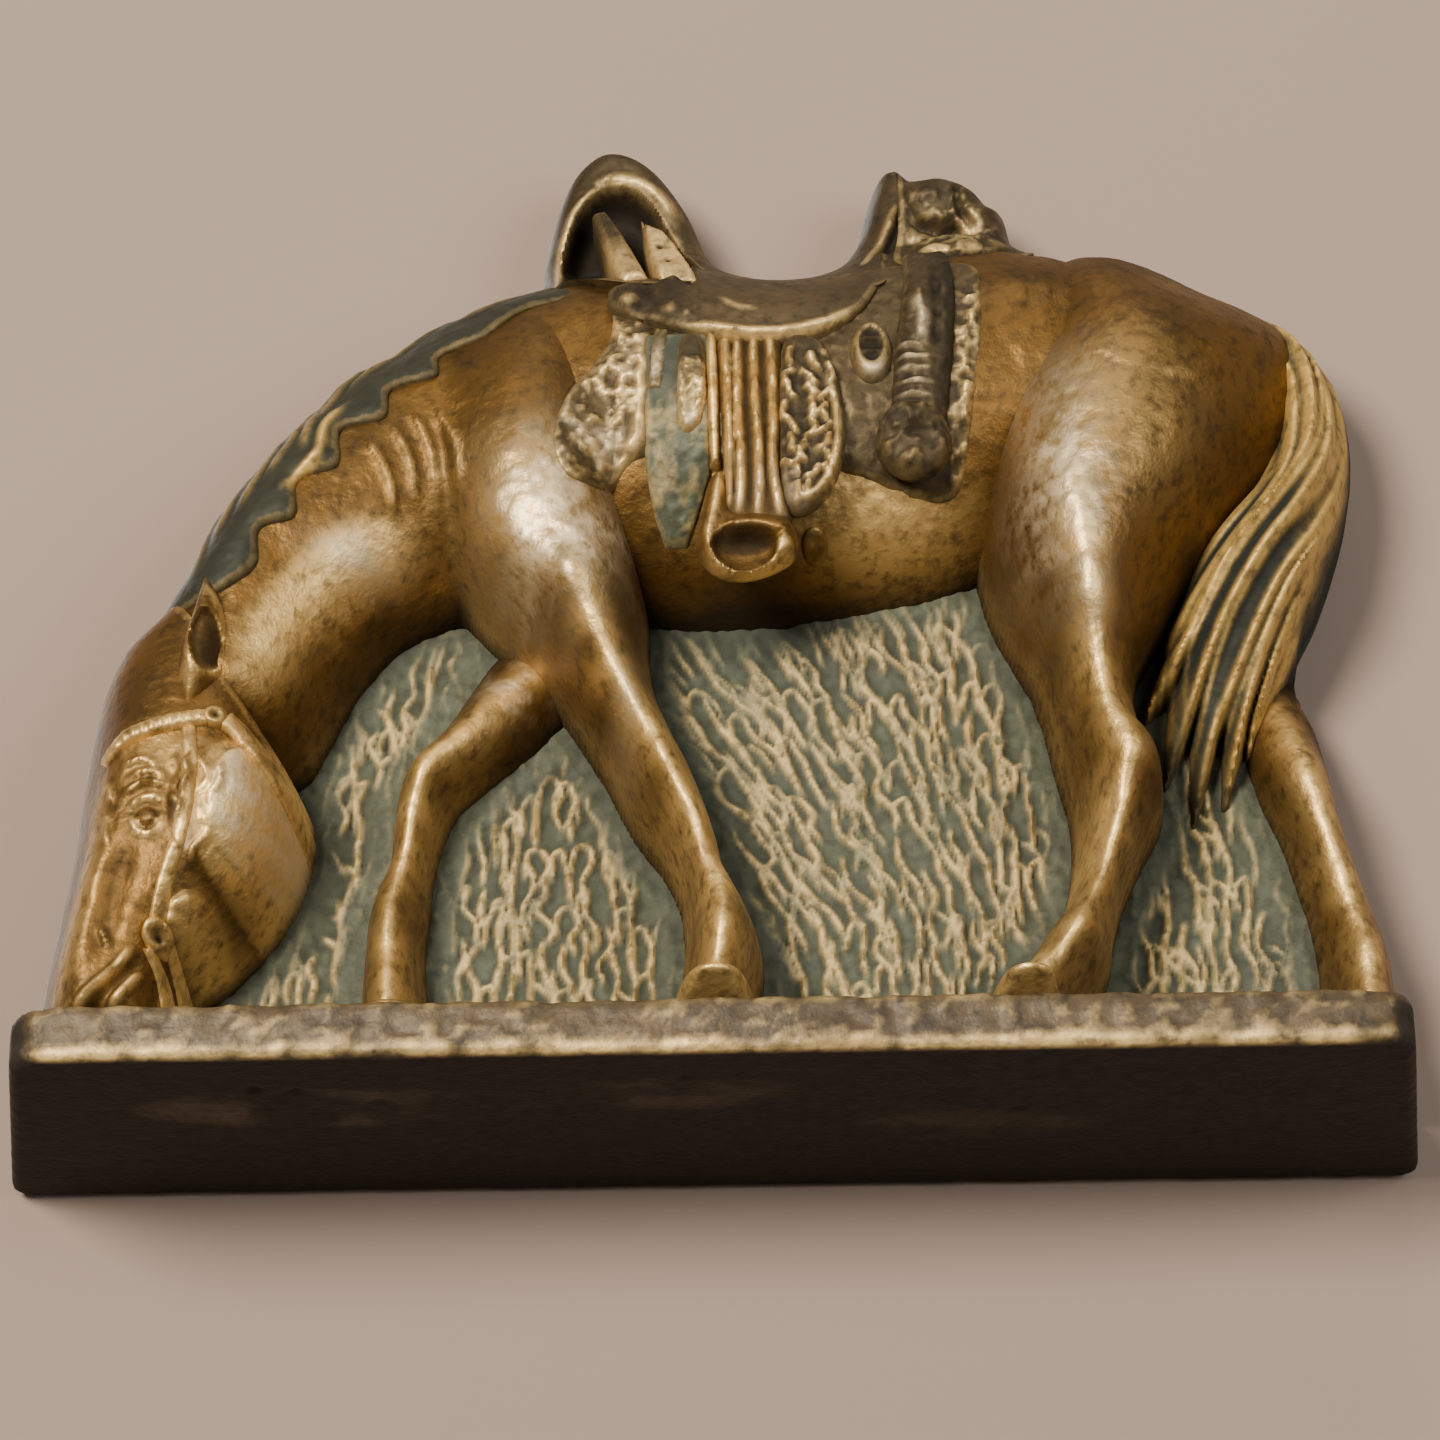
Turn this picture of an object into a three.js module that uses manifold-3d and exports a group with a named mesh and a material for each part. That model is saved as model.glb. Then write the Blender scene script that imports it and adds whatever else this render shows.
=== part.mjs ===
// A one-sided relief of a saddled horse grazing, standing on a slab base. Millimetres, +Z up.
// The front faces -Y. A relief height is measured forward from the flat back at y = +slabDepth / 2.
import * as THREE from 'three';
import { mergeVertices } from 'three/addons/utils/BufferGeometryUtils.js';
import Module from 'manifold-3d';

const wasm = await Module();
wasm.setup();

// ---------- driving sizes ----------
const figureLength = 143.5;     // muzzle side to tail side of the relief
const figureHeight = 115;       // top of the pommel above the slab
const slabOverhang = 2.25;      // slab past the relief at each end
const slabDepth = 43;
const slabHeight = 5.6;
const slabTaper = 6.5;          // each end slants in by this much towards the front
const slabFrontCorner = 5;      // plan radius of the two front corners
const slabBackCorner = 2;
const slabBevel = 0.7;
const plateThickness = 4;       // flat backing plate, cut to the outline
const fieldHeight = 8;          // grass ground, from the flat back
const fieldTop = 68;            // no grass ground above this level, in drawn figure units
const edgeHeight = 4.8;         // relief height right at the outline
const edgeRounding = 6.5;       // rise of the relief at 1 mm in from the top of the outline, as a square root
const lowEdgeRounding = 9.5;    // the same for the fuller sides below the horse's back
const fullSidesBelow = 62;      // height under which the sides are at their fullest
const gentleRimAbove = 82;      // height over which the rim is at its gentlest
const blendRadius = 2;          // fillet where two masses meet
const blanketThickness = 0.8;
const strapThickness = 1.1;
const hangingHeight = 27.5;     // stirrup and its leathers hang straight, clear of the belly
const seam = 0.3;               // clearance between neighbouring pieces
const gridStep = 3;             // spacing of the relief surface points

// The figure is drawn 143.5 long and 115 high above its feet, then stretched to the sizes above.
const drawnLength = 143.5;
const drawnHeight = 115;
const drawnFeet = 5.6;
const stretchX = figureLength / drawnLength;
const stretchZ = figureHeight / drawnHeight;
const backY = slabDepth / 2;
const feetZ = slabHeight + seam;
const slabLength = figureLength + 2 * slabOverhang;

function placed([x, z]) {
  return new THREE.Vector2(x * stretchX, slabHeight + (z - drawnFeet) * stretchZ);
}

// ---------- outlines ----------
// A run is a smooth stretch through its points. Where two runs meet, the outline may turn sharply.
function outline(...runs) {
  const points = runs.flatMap((run) => {
    if (run.length < 3) return run.map(placed);
    return new THREE.SplineCurve(run.map(placed)).getPoints((run.length - 1) * 2);
  });
  return points.filter((p, i) => p.distanceTo(points[(i + 1) % points.length]) > 0.05);
}

function loop(points) {
  const closed = new THREE.SplineCurve([...points, points[0]].map(placed));
  return closed.getPoints(points.length * 2).slice(0, -1);
}

function oval(x, z, rx, rz, sides = 14) {
  const centre = placed([x, z]);
  return new THREE.EllipseCurve(centre.x, centre.y, rx, rz).getPoints(sides).slice(0, -1);
}

// The outline of a limb or strap: its centre line widened to each side, and squared off at its ends.
function band(line) {
  const middle = sampled(line, 2);
  const side = (sign) => middle.map((p, i) => {
    const before = middle[Math.max(i - 1, 0)];
    const after = middle[Math.min(i + 1, middle.length - 1)];
    const along = new THREE.Vector2(after.x - before.x, after.z - before.z).normalize();
    return new THREE.Vector2(p.x - sign * along.y * p.w, p.z + sign * along.x * p.w);
  });
  return [...side(1), ...side(-1).reverse()];
}

function grown(points, by) {
  const sign = THREE.ShapeUtils.isClockWise(points) ? -1 : 1;
  const count = points.length;
  return points.map((p, i) => {
    const a = p.clone().sub(points[(i + count - 1) % count]).normalize();
    const b = points[(i + 1) % count].clone().sub(p).normalize();
    const scale = by / Math.max(1 + a.dot(b), 0.6);
    return new THREE.Vector2(p.x + sign * (a.y + b.y) * scale, p.y - sign * (a.x + b.x) * scale);
  });
}

// ---------- relief surface ----------
// A mass is a ridge: a line of [x, z, half-width, crest height], and how flat its top is (2 is round).
function sampled(line, steps) {
  const samples = [];
  const at = (i) => line[Math.min(Math.max(i, 0), line.length - 1)];
  for (let i = 0; i < line.length - 1; i += 1) {
    for (let s = 0; s < steps; s += 1) samples.push(bent(at(i - 1), at(i), at(i + 1), at(i + 2),
      s / steps));
  }
  samples.push(bent(at(line.length - 2), at(line.length - 1), at(line.length), at(line.length), 0));
  return samples;
}

function bent(p0, p1, p2, p3, t) {
  const mix = p1.map((v, k) => {
    const slopeIn = (p2[k] - p0[k]) / 2;
    const slopeOut = (p3[k] - v) / 2;
    const bend = 2 * (v - p2[k]) + slopeIn + slopeOut;
    return v + slopeIn * t + (p2[k] - v - slopeIn - bend) * t * t + bend * t * t * t;
  });
  const spot = placed(mix);
  return { x: spot.x, z: spot.y, w: mix[2], h: mix[3] };
}

const masses = {
  barrel: { line: [[-20, 84, 21, 24], [0, 82.5, 22.8, 26], [18, 84.3, 22.2, 26], [34, 87.5, 20, 26]],
    flat: 2.2 },
  haunch: { line: [[49, 88, 20, 27], [44.5, 77, 16.5, 31], [41, 65, 11.5, 31], [40.3, 56, 7, 29]],
    flat: 2.2 },
  nearHind: {
    line: [[40.3, 57, 7, 29], [40.8, 49, 5.2, 27], [41.8, 43, 5, 27], [43.3, 38.5, 5.4, 28],
      [42.2, 33, 4, 26.5],
      [40.6, 27.5, 3.2, 25.5], [39.2, 23, 3.3, 26], [37.6, 19.5, 4.2, 27.5], [35, 15.5, 4.2, 28.5],
      [32.6, 12.5, 4.3, 30]],
  },
  nearHindHoof: { line: [[32, 12.5, 4.4, 30.5], [31.6, 9.5, 5, 31.5], [31.5, 4, 5.6, 32.5]], flat: 3 },
  farHind: {
    line: [[60, 49, 6, 15], [62.3, 41, 4.7, 17.5], [64.4, 34, 3.8, 17], [66.4, 26, 3.9, 16.5],
      [67.6, 20, 4.3, 17.5],
      [67.6, 14, 4.4, 19]],
  },
  farHindHoof: { line: [[67.4, 13, 4.6, 20], [67, 9, 5, 21], [67, 4, 5.4, 22]], flat: 3 },
  tail: {
    line: [[58, 98, 6, 13], [65, 90, 6.5, 18], [66.8, 80, 5.8, 21], [64.4, 72, 6.4, 22],
      [59.8, 64, 8.3, 23],
      [55.6, 56, 8.6, 22], [53.6, 49.5, 7, 21], [52.4, 42, 4.3, 18.5], [50, 35.5, 1.4, 14]],
  },
  shoulder: { line: [[-17, 92, 11, 20], [-19.5, 80, 13, 27], [-18, 69, 11.5, 29.5], [-13.5, 59, 7.6, 29]],
    flat: 2.2 },
  nearFore: {
    line: [[-13.6, 59, 7.4, 29], [-10.6, 51, 5.3, 27], [-7.6, 44.5, 4.5, 26.5], [-4.6, 38, 4.3, 27],
      [-2.2, 33, 3.4, 26.5], [-0.6, 28, 2.9, 26], [0.9, 23, 4, 27.5], [1.2, 20, 4.5, 28.5],
        [0.7, 15.5, 4, 29]],
  },
  nearForeHoof: { line: [[0.4, 13.5, 4.6, 30], [0.1, 10.5, 5.4, 31.5], [0, 4, 6.2, 32.5]], flat: 3 },
  farFore: {
    line: [[-19, 56, 6.4, 14], [-21.6, 50, 4.8, 17], [-26, 45.3, 4.3, 17.5], [-29.6, 41.3, 3.9, 18.5],
      [-31, 37, 3.2, 18.5], [-31.8, 32, 2.8, 17.5], [-33, 27, 3.6, 18], [-33.4, 22, 3.6, 19],
        [-33.3, 15.5, 4, 20.5]],
  },
  farForeHoof: { line: [[-33.2, 13.5, 4.5, 21.5], [-33, 10, 5.2, 22.5], [-33, 4, 5.8, 23.5]], flat: 3 },
  neck: {
    line: [[-20, 83, 20, 24], [-32, 77, 17, 24.5], [-41, 69, 13.6, 25.5], [-47, 59.5, 11.2, 26],
      [-51, 50, 10.8, 27]],
    flat: 2.2,
  },
  head: {
    line: [[-55, 48, 12, 27.5], [-55.4, 38, 12.5, 29.5], [-55.8, 30, 12.6, 29.5], [-59.6, 21, 10.2, 28.5],
      [-61.6, 13, 9, 28], [-62, 3, 9, 28]],
    flat: 2.8,
  },
  ear: { line: [[-52.6, 46, 2.6, 28.5], [-52.2, 51, 3, 29.5], [-52.4, 56, 1.9, 29], [-53, 60.5, 0.7, 27]] },
};
for (const mass of Object.values(masses)) mass.samples = sampled(mass.line, 3);

function ridge({ samples, flat = 2 }, x, z) {
  let best = -Infinity;
  for (let i = 0; i < samples.length - 1; i += 1) {
    const a = samples[i];
    const b = samples[i + 1];
    const dx = b.x - a.x;
    const dz = b.z - a.z;
    const t = THREE.MathUtils.clamp(((x - a.x) * dx + (z - a.z) * dz) / (dx * dx + dz * dz), 0, 1);
    const off = Math.hypot(x - a.x - t * dx, z - a.z - t * dz) / (a.w + t * (b.w - a.w));
    if (off < 1) best = Math.max(best, (a.h + t * (b.h - a.h)) * Math.sqrt(1 - off ** flat));
  }
  return best;
}

function smoothMax(a, b) {
  const near = Math.max(blendRadius - Math.abs(a - b), 0) / blendRadius;
  return Math.max(a, b) + (near * near * blendRadius) / 4;
}

const silhouette = outline(
  [[-71, 3], [-70.2, 17], [-69, 25], [-67.8, 33], [-67.2, 41], [-66.2, 50], [-64, 55.4], [-60, 59.8],
    [-57.6, 63.9],
    [-55.2, 70.5], [-51.5, 77.2], [-46.8, 83.8], [-44, 86.5], [-42, 89.4], [-39.4, 91.5]],
  [[-36, 92.8], [-31, 97], [-26, 99.2], [-20.5, 101.2], [-17.7, 102.6]],
  [[-17.5, 106.5], [-16, 112.4], [-14.2, 117.8], [-11.4, 120.4], [-8, 120.3], [-4.6, 117.8], [-1.2, 112.6],
    [1, 107], [3.6, 104.2], [9, 103.3], [14, 104.4], [16.9, 108], [18.2, 112.4], [19.7, 116.8],
      [22.6, 117.8]],
  [[24.2, 116.1], [27.4, 116.3], [31.2, 114.8], [33.3, 112.2]],
  [[34.8, 111.4], [36, 107], [40, 106.3], [49, 104.5], [57.3, 100.2], [64.6, 96.2], [69.4, 91.5],
    [71.6, 85.9],
    [71.8, 78.7], [70.4, 71.4], [67.6, 63.8], [64.8, 58.2], [64, 53.3]],
  [[64.4, 50.6], [66.3, 46.2], [67.1, 38.6], [69.2, 29.6], [71.4, 22.4], [72.5, 3]],
);

function distanceToOutline(x, z) {
  let nearest = Infinity;
  silhouette.forEach((a, i) => {
    const b = silhouette[(i + 1) % silhouette.length];
    const dx = b.x - a.x;
    const dz = b.y - a.y;
    const t = THREE.MathUtils.clamp(((x - a.x) * dx + (z - a.y) * dz) / (dx * dx + dz * dz), 0, 1);
    nearest = Math.min(nearest, Math.hypot(x - a.x - t * dx, z - a.y - t * dz));
  });
  return nearest;
}

function edgeLimit(x, z) {
  const upper = Math.min(Math.max((z - fullSidesBelow) / (gentleRimAbove - fullSidesBelow), 0), 1);
  const rounding = lowEdgeRounding + upper * (edgeRounding - lowEdgeRounding);
  return edgeHeight + rounding * Math.sqrt(distanceToOutline(x, z));
}

// Relief heights of the animal and ground, kept for each point of the shared grid.
const known = new Map();
function hide(x, z) {
  const key = `${x.toFixed(3)},${z.toFixed(3)}`;
  if (!known.has(key)) {
    const ground = z < placed([0, fieldTop]).y ? fieldHeight : plateThickness;
    const top = Object.values(masses).reduce((h, mass) => smoothMax(h, ridge(mass, x, z)), ground);
    known.set(key, Math.max(Math.min(top, edgeLimit(x, z)), plateThickness));
  }
  return known.get(key);
}

// ---------- solids ----------
function solidOf(geometry) {
  geometry.deleteAttribute('normal');
  geometry.deleteAttribute('uv');
  const merged = mergeVertices(geometry, 1e-5);
  return new wasm.Manifold(new wasm.Mesh({
    numProp: 3,
    vertProperties: Float32Array.from(merged.attributes.position.array),
    triVerts: Uint32Array.from(merged.index.array),
  }));
}

// An upright prism standing out from the back plane, with the given outline seen from the front.
function prism(points) {
  const geometry = new THREE.ExtrudeGeometry(new THREE.Shape(points), { depth: slabDepth + 2,
    bevelEnabled: false });
  return solidOf(geometry.rotateX(Math.PI / 2).translate(0, backY + 1, 0));
}

const gridColumns = Math.ceil(slabLength / gridStep);
const gridRows = Math.ceil((slabHeight + figureHeight) / gridStep) + 1;

// Everything behind a relief surface, given as its height from the back plane at each x and z.
function behind(surface) {
  const high = gridRows * gridStep;
  const geometry = new THREE.BoxGeometry(gridColumns * gridStep, 2, high, gridColumns, 1, gridRows);
  const spots = geometry.attributes.position;
  for (let i = 0; i < spots.count; i += 1) {
    const z = spots.getZ(i) + high / 2;
    spots.setZ(i, z);
    spots.setY(i, spots.getY(i) > 0 ? backY + 1 : backY - surface(spots.getX(i), z));
  }
  return solidOf(geometry);
}

const group = new THREE.Group();

function addMesh(name, geometry, [colour, roughness, metalness]) {
  const material = new THREE.MeshStandardMaterial({ color: colour, roughness, metalness });
  const mesh = new THREE.Mesh(geometry, material);
  mesh.name = name;
  group.add(mesh);
}

function addSolid(name, solid, finish) {
  const { vertProperties, triVerts } = solid.getMesh();
  const geometry = new THREE.BufferGeometry();
  geometry.setAttribute('position', new THREE.BufferAttribute(vertProperties, 3));
  geometry.setIndex(new THREE.BufferAttribute(triVerts, 1));
  geometry.computeVertexNormals();
  addMesh(name, geometry, finish);
}

// Everything above the slab, and in front of a plane at the given height from the flat back.
function clearOf(backHeight) {
  const size = slabLength + figureHeight;
  const room = new THREE.BoxGeometry(size, size, size);
  return solidOf(room.translate(0, backY - backHeight - size / 2, feetZ + size / 2));
}

const figure = prism(silhouette).intersect(clearOf(0));

// Cuts pieces side by side out of the room for one layer. Each leaves a seam round it for the next.
function layer(room, front) {
  let free = room;
  return (name, points, finish, ownFront = front) => {
    const body = free.intersect(prism(points)).intersect(behind(ownFront));
    free = free.subtract(prism(grown(points, seam)));
    addSolid(name, body.decompose().reduce((a, b) => (a.volume() > b.volume() ? a : b)), finish);
  };
}

const bronze = ['#a67c3a', 0.42, 0.9];
const wornSilver = ['#a3957f', 0.5, 0.85];
const darkBronze = ['#6b5a38', 0.5, 0.85];
const verdigris = ['#66735a', 0.8, 0.4];
const leatherBronze = ['#8a7347', 0.5, 0.85];
const blackBrown = ['#3a2f20', 0.55, 0.7];

// ---------- slab and backing plate ----------
function slabShape() {
  const x = slabLength / 2 - slabBevel;
  const y = slabDepth / 2 - slabBevel;
  const slant = Math.atan(slabTaper / slabDepth);
  const shape = new THREE.Shape();
  // A corner arc touches one slanted end and the front or back edge.
  const corner = (end, edge, radius, from, to) => {
    const cy = edge * (y - radius);
    const cx = x - (radius + Math.sin(slant) * (y - cy)) / Math.cos(slant);
    shape.absarc(end * cx, cy, radius, from, to, false);
  };
  corner(-1, -1, slabFrontCorner, Math.PI + slant, 1.5 * Math.PI);
  corner(1, -1, slabFrontCorner, 1.5 * Math.PI, 2 * Math.PI - slant);
  corner(1, 1, slabBackCorner, -slant, 0.5 * Math.PI);
  corner(-1, 1, slabBackCorner, 0.5 * Math.PI, Math.PI + slant);
  return shape;
}

addMesh('base_slab', new THREE.ExtrudeGeometry(slabShape(), {
  depth: slabHeight - 2 * slabBevel, curveSegments: 6, bevelThickness: slabBevel, bevelSize: slabBevel,
    bevelSegments: 1,
}).translate(0, 0, slabBevel), blackBrown);

addSolid('backing_plate', figure.subtract(clearOf(plateThickness)), verdigris);

// ---------- the horse, in front of the plate ----------
const horse = layer(figure.intersect(clearOf(plateThickness + seam)), hide);

horse('near_ear', loop([[-55, 47.5], [-54.9, 53], [-53.6, 60.8], [-51, 57], [-49.4, 52], [-50.6, 47.2]]),
  bronze);
horse('near_fore_hoof', outline([[-7, 3], [7, 3]], [[5.8, 11.5], [4.8, 14.4]], [[-4.6, 14.4],
  [-5.7, 11.5]]), darkBronze);
horse('near_foreleg', band([[-12.4, 57, 7.2, 0], ...masses.nearFore.line.slice(1, -1), [0.4, 12, 4.6, 0]]),
  bronze);
horse('near_hind_hoof', outline([[25, 3], [38, 3]], [[37.2, 11], [35.5, 14.2]], [[28.2, 14.2], [26.6, 11]]),
  darkBronze);
horse('near_hind_leg', band([[40.4, 52, 6.6, 0], ...masses.nearHind.line.slice(1, -1),
  [31.5, 11.6, 4.6, 0]]), bronze);
horse('far_fore_hoof', outline([[-39.5, 3], [-26.5, 3]], [[-27.6, 11], [-28.8, 14.2]], [[-37.7, 14.2],
  [-38.6, 11]]), darkBronze);
horse('far_hind_hoof', outline([[61, 3], [76, 3]], [[76, 13.6]], [[63, 13.6], [62, 11]]), darkBronze);
horse('shoulder', loop([[-7.5, 98], [-7, 84], [-7.5, 72], [-5.6, 60], [-10, 57], [-20, 56.4], [-26.4, 58.4],
  [-29, 66],
  [-30.5, 79], [-28, 90], [-20, 97.5], [-12, 100.5]]), wornSilver);
horse('haunch', loop([[33, 106.8], [30.6, 96], [28.6, 84], [27.2, 72], [28, 64], [32, 56], [36.2, 51.4],
  [44.4, 51.4],
  [48, 58], [53, 66], [59.4, 73.4], [61.8, 80], [61.6, 87.5], [57.5, 95], [52, 101.5], [43, 108.4]]),
    wornSilver);
horse('head', outline([[-75, 3], [-75, 55], [-63, 58], [-57.4, 56], [-52, 48.4], [-44.5, 42.6],
  [-41.6, 36.4],
  [-42, 30.4], [-45, 27], [-49.6, 24], [-51, 17], [-52.4, 10], [-53, 3]]), bronze);
horse('mane', outline([[-75, 54], [-63.4, 58.4], [-57, 57.6], [-51.6, 64.6], [-48.8, 72], [-44.8, 71.2],
  [-41.6, 77.4],
  [-38, 84], [-29.5, 91], [-20, 97.6], [-13, 101]], [[-16, 112], [-75, 112]]), darkBronze);
horse('neck', loop([[-20, 100], [-34, 92], [-46, 78], [-56, 62], [-53.5, 48], [-46, 41], [-40.6, 43],
  [-39, 54],
  [-34, 59.6], [-26, 62.4], [-18, 72], [-16, 86]]), bronze);
horse('far_foreleg', band([[-18.6, 58, 5.6, 0], ...masses.farFore.line.slice(1, -1),
  [-33.2, 12.6, 4.4, 0]]), bronze);
horse('tail', band([[57, 102.5, 5.5, 0], [66.6, 91.5, 7.5, 0], [67.6, 80, 6.6, 0], [64.6, 71.6, 7, 0],
  ...masses.tail.line.slice(4)]), bronze);
horse('far_hind_leg', band([[58.4, 52, 5.6, 0], ...masses.farHind.line.slice(1, -1), [67.8, 12.4, 5.2, 0]]),
  bronze);
horse('barrel', outline([[-22, 100], [-8, 104.6], [4, 104.8], [14, 104.8], [26, 105], [44, 107]],
  [[46, 60], [30, 66.2], [22.6, 64.2], [12.4, 61], [4.8, 59.6], [-8, 60.2], [-18, 62]]), bronze);
horse('grass_by_head', outline([[-60, 3], [-60, 40], [-44, 52], [-30, 60.5], [-20, 57]], [[-20, 46],
  [-33, 36], [-33, 3]]),
  verdigris);
horse('grass_between_forelegs', outline([[-34, 3], [-30, 38], [-20, 54], [-10, 56]], [[-2, 34], [0, 3]]),
  verdigris);
horse('grass_under_belly', outline([[1, 3], [-1.4, 32], [-10, 58], [-6, 66], [30, 70]], [[42, 50], [42, 26],
  [32, 3]]),
  verdigris);
horse('grass_between_hind_legs', outline([[32, 3], [40, 24], [40, 50], [50, 64], [60, 56]], [[66, 30],
  [66, 3]]),
  verdigris);

// ---------- saddle and gear, lying on the horse ----------
const onHide = (x, z) => hide(x, z) + seam;
const higher = (a, b) => (x, z) => Math.max(a(x, z), b(x, z));
const overHide = (thickness) => (x, z) => onHide(x, z) + thickness;
const blanketTop = overHide(blanketThickness);
const onBlanket = (x, z) => blanketTop(x, z) + seam;
const overBlanket = (thickness) => (x, z) => onBlanket(x, z) + thickness;

// A rounded hump of its own height, for gear that stands above the line of the back.
function hump(cx, cz, rx, rz, height) {
  const centre = placed([cx, cz]);
  return (x, z) => {
    const off = ((x - centre.x) / rx) ** 2 + ((z - centre.y) / rz) ** 2;
    return Math.min(height * Math.sqrt(Math.max(1 - off, 0.1)), edgeLimit(x, z));
  };
}

const pommelDome = hump(-7.5, 106, 15, 18, 16);
const pommelHollow = oval(-12.4, 106.6, 3.2, 5.2);

const blanketEdge = loop([[-10.5, 95], [-10.8, 88.7], [-12.6, 83.5], [-15, 79.6], [-16, 75.2],
  [-12.8, 71.4], [-9.4, 70.4],
  [-5, 75], [3, 73], [15, 72.4], [22, 71], [26.6, 71.2], [28.2, 76], [29, 80], [29.6, 86], [30, 92],
    [28, 98],
  [14, 97.6], [2, 97], [-6, 96.6]]);
const blanketLayer = layer(figure.subtract(behind(onHide)), blanketTop);
blanketLayer('saddle_blanket', blanketEdge, verdigris);
blanketLayer('cinch', band([[-3.2, 72.6, 2.6, 0], [-3.2, 69.6, 2.2, 0], [-3.2, 66.4, 1.7, 0]]), verdigris,
  overHide(strapThickness));
blanketLayer('stirrup_concho', oval(11.7, 66.2, 1.3, 1.3), bronze, overHide(strapThickness));
blanketLayer('stirrup', loop([[1.7, 69.4], [0.3, 69.4], [-0.5, 65], [-0.4, 61], [1.3, 58.6], [3.6, 58.1],
  [6.4, 58.8],
  [8.9, 60.4], [9.4, 62.8], [8.4, 64.4], [3, 64.8]]), bronze,
  higher(overHide(3), () => hangingHeight));

const gear = layer(figure.subtract(behind(onBlanket)), overBlanket(strapThickness));
gear('horn_cap', oval(-11, 117.2, 2.3, 1.9), bronze, higher(pommelDome, () => 11));
gear('fork_post_front', band([[-10, 107.4, 1, 0], [-9.3, 104, 1.2, 0], [-8.4, 100.8, 1.5, 0]]), bronze,
  higher(overBlanket(1.6), () => 17));
gear('fork_post_rear', band([[-6, 108, 0.9, 0], [-4.6, 104, 1.8, 0], [-3.2, 100.6, 2.4, 0]]), bronze,
  higher(overBlanket(1.6), () => 17.5));
gear('pommel_lining', pommelHollow, blackBrown, () => 9);
gear('pommel', outline([[-19, 104], [-19, 125], [2, 125]], [[4.4, 106.4], [2.6, 101.4], [-3, 99.4],
  [-9, 99.2],
  [-15.4, 101.6]]), darkBronze, higher(pommelDome, overBlanket(1)));
gear('cantle', outline([[15.4, 103.4], [16.6, 112], [18, 122], [22.9, 122]],
  [[22, 113], [20.8, 107], [18.6, 101.8]]), darkBronze, higher(hump(19, 108, 7, 16, 16), overBlanket(1.2)));
gear('bedroll', outline([[23.4, 122], [40, 122]], [[36.6, 110], [36.4, 106], [32.6, 103.6], [26, 102.4],
  [21.4, 103.4],
  [22.4, 109]]), leatherBronze, higher(hump(28.6, 108.6, 10, 11, 18), overBlanket(1.2)));
gear('seat', outline([[4.6, 108], [16.6, 108]], [[15.2, 103], [17.6, 101], [10, 99.6], [3, 100.6]]),
  darkBronze,
  higher(hump(10, 100, 12, 9, 17), overBlanket(1.2)));
gear('scabbard', band([[23.2, 101, 2, 0], [24, 92, 2.1, 0], [22.8, 86, 2.2, 0], [22.4, 79.4, 2.3, 0]]),
  leatherBronze,
  overBlanket(3));
gear('canteen', oval(22.1, 73.2, 4.2, 4.4), blackBrown, overBlanket(4));
gear('pouch', oval(18.1, 86.7, 2.3, 3.7), darkBronze, overBlanket(2.4));
gear('fender', outline([[1.9, 88.6], [8.6, 88.6]], [[8.3, 78], [7.6, 71], [8.6, 65.2]], [[3, 65.2],
  [2.6, 71], [2.2, 80]]),
  bronze, higher(overBlanket(2.2), () => hangingHeight));
gear('woolly_flap', loop([[8.6, 88.4], [7.9, 78], [7.9, 69], [9.4, 66.2], [11.5, 66.8], [13.4, 69.2],
  [14.5, 72.4],
  [14.9, 76.4], [14.4, 80.6], [13, 85], [12, 88.4]]), leatherBronze, higher(overBlanket(2.2),
    () => hangingHeight));
gear('tie_strap', band([[1, 88.2, 0.6, 0], [1, 82, 0.7, 0], [1.1, 73, 0.6, 0]]), bronze);
gear('tie_tassel', band([[-1.4, 88, 1, 0], [-1.4, 82, 1.5, 0], [-1.5, 76.4, 1.3, 0]]), leatherBronze,
  overBlanket(1.6));
gear('front_strap', band([[-4.8, 91, 1.1, 0], [-5.2, 86, 1.2, 0], [-5.6, 80.6, 1, 0]]), leatherBronze,
  overBlanket(1.6));
gear('skirt', loop([[-9.4, 98.4], [-9.6, 93.4], [-5, 90.6], [0, 88.8], [6.6, 87.4], [13, 88.6],
  [18.6, 91.6],
  [20.2, 98],
  [17.4, 100.4], [10, 98.8], [2.6, 99.8], [-3, 98.4]]), darkBronze, overBlanket(1.4));

// ---------- bridle ----------
const bridle = layer(figure.subtract(behind(onHide)), overHide(strapThickness));
bridle('brow_concho', oval(-50.8, 42, 1.2, 1.2, 10), bronze, overHide(1.5));
bridle('bit', oval(-56.1, 19.4, 1.5, 1.7, 12), bronze, overHide(1.5));
bridle('browband', band([[-61.2, 39.2, 0.8, 0], [-58, 40.6, 0.8, 0], [-54, 41.6, 0.8, 0],
  [-50.8, 42, 0.8, 0]]), bronze);
bridle('throatlatch', band([[-49.4, 41.4, 0.8, 0], [-46, 38.7, 0.8, 0], [-43.4, 35.8, 0.8, 0]]), bronze);
bridle('cheekpiece', band([[-53.6, 40.4, 1, 0], [-53.2, 35, 1, 0], [-53.8, 29.6, 1, 0], [-55.2, 24.6, 1, 0],
  [-56.1, 21.4, 1, 0]]), bronze);
bridle('rein_off', band([[-56.9, 17.2, 0.5, 0], [-55.8, 14, 0.5, 0], [-55.4, 6.6, 0.5, 0]]), bronze);
bridle('rein_near', band([[-54.8, 18, 0.5, 0], [-54.2, 14, 0.5, 0], [-53.9, 6.6, 0.5, 0]]), bronze);

export default group;
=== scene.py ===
# Cast bronze relief of a saddled horse grazing, on a slab base.
# Lengths in this script are millimetres until a mesh is made. A relief height is counted
# forward (towards -Y) from the flat back of the figure.
import math
import bmesh
import bpy
import numpy as np
from mathutils import Matrix, Vector


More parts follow.
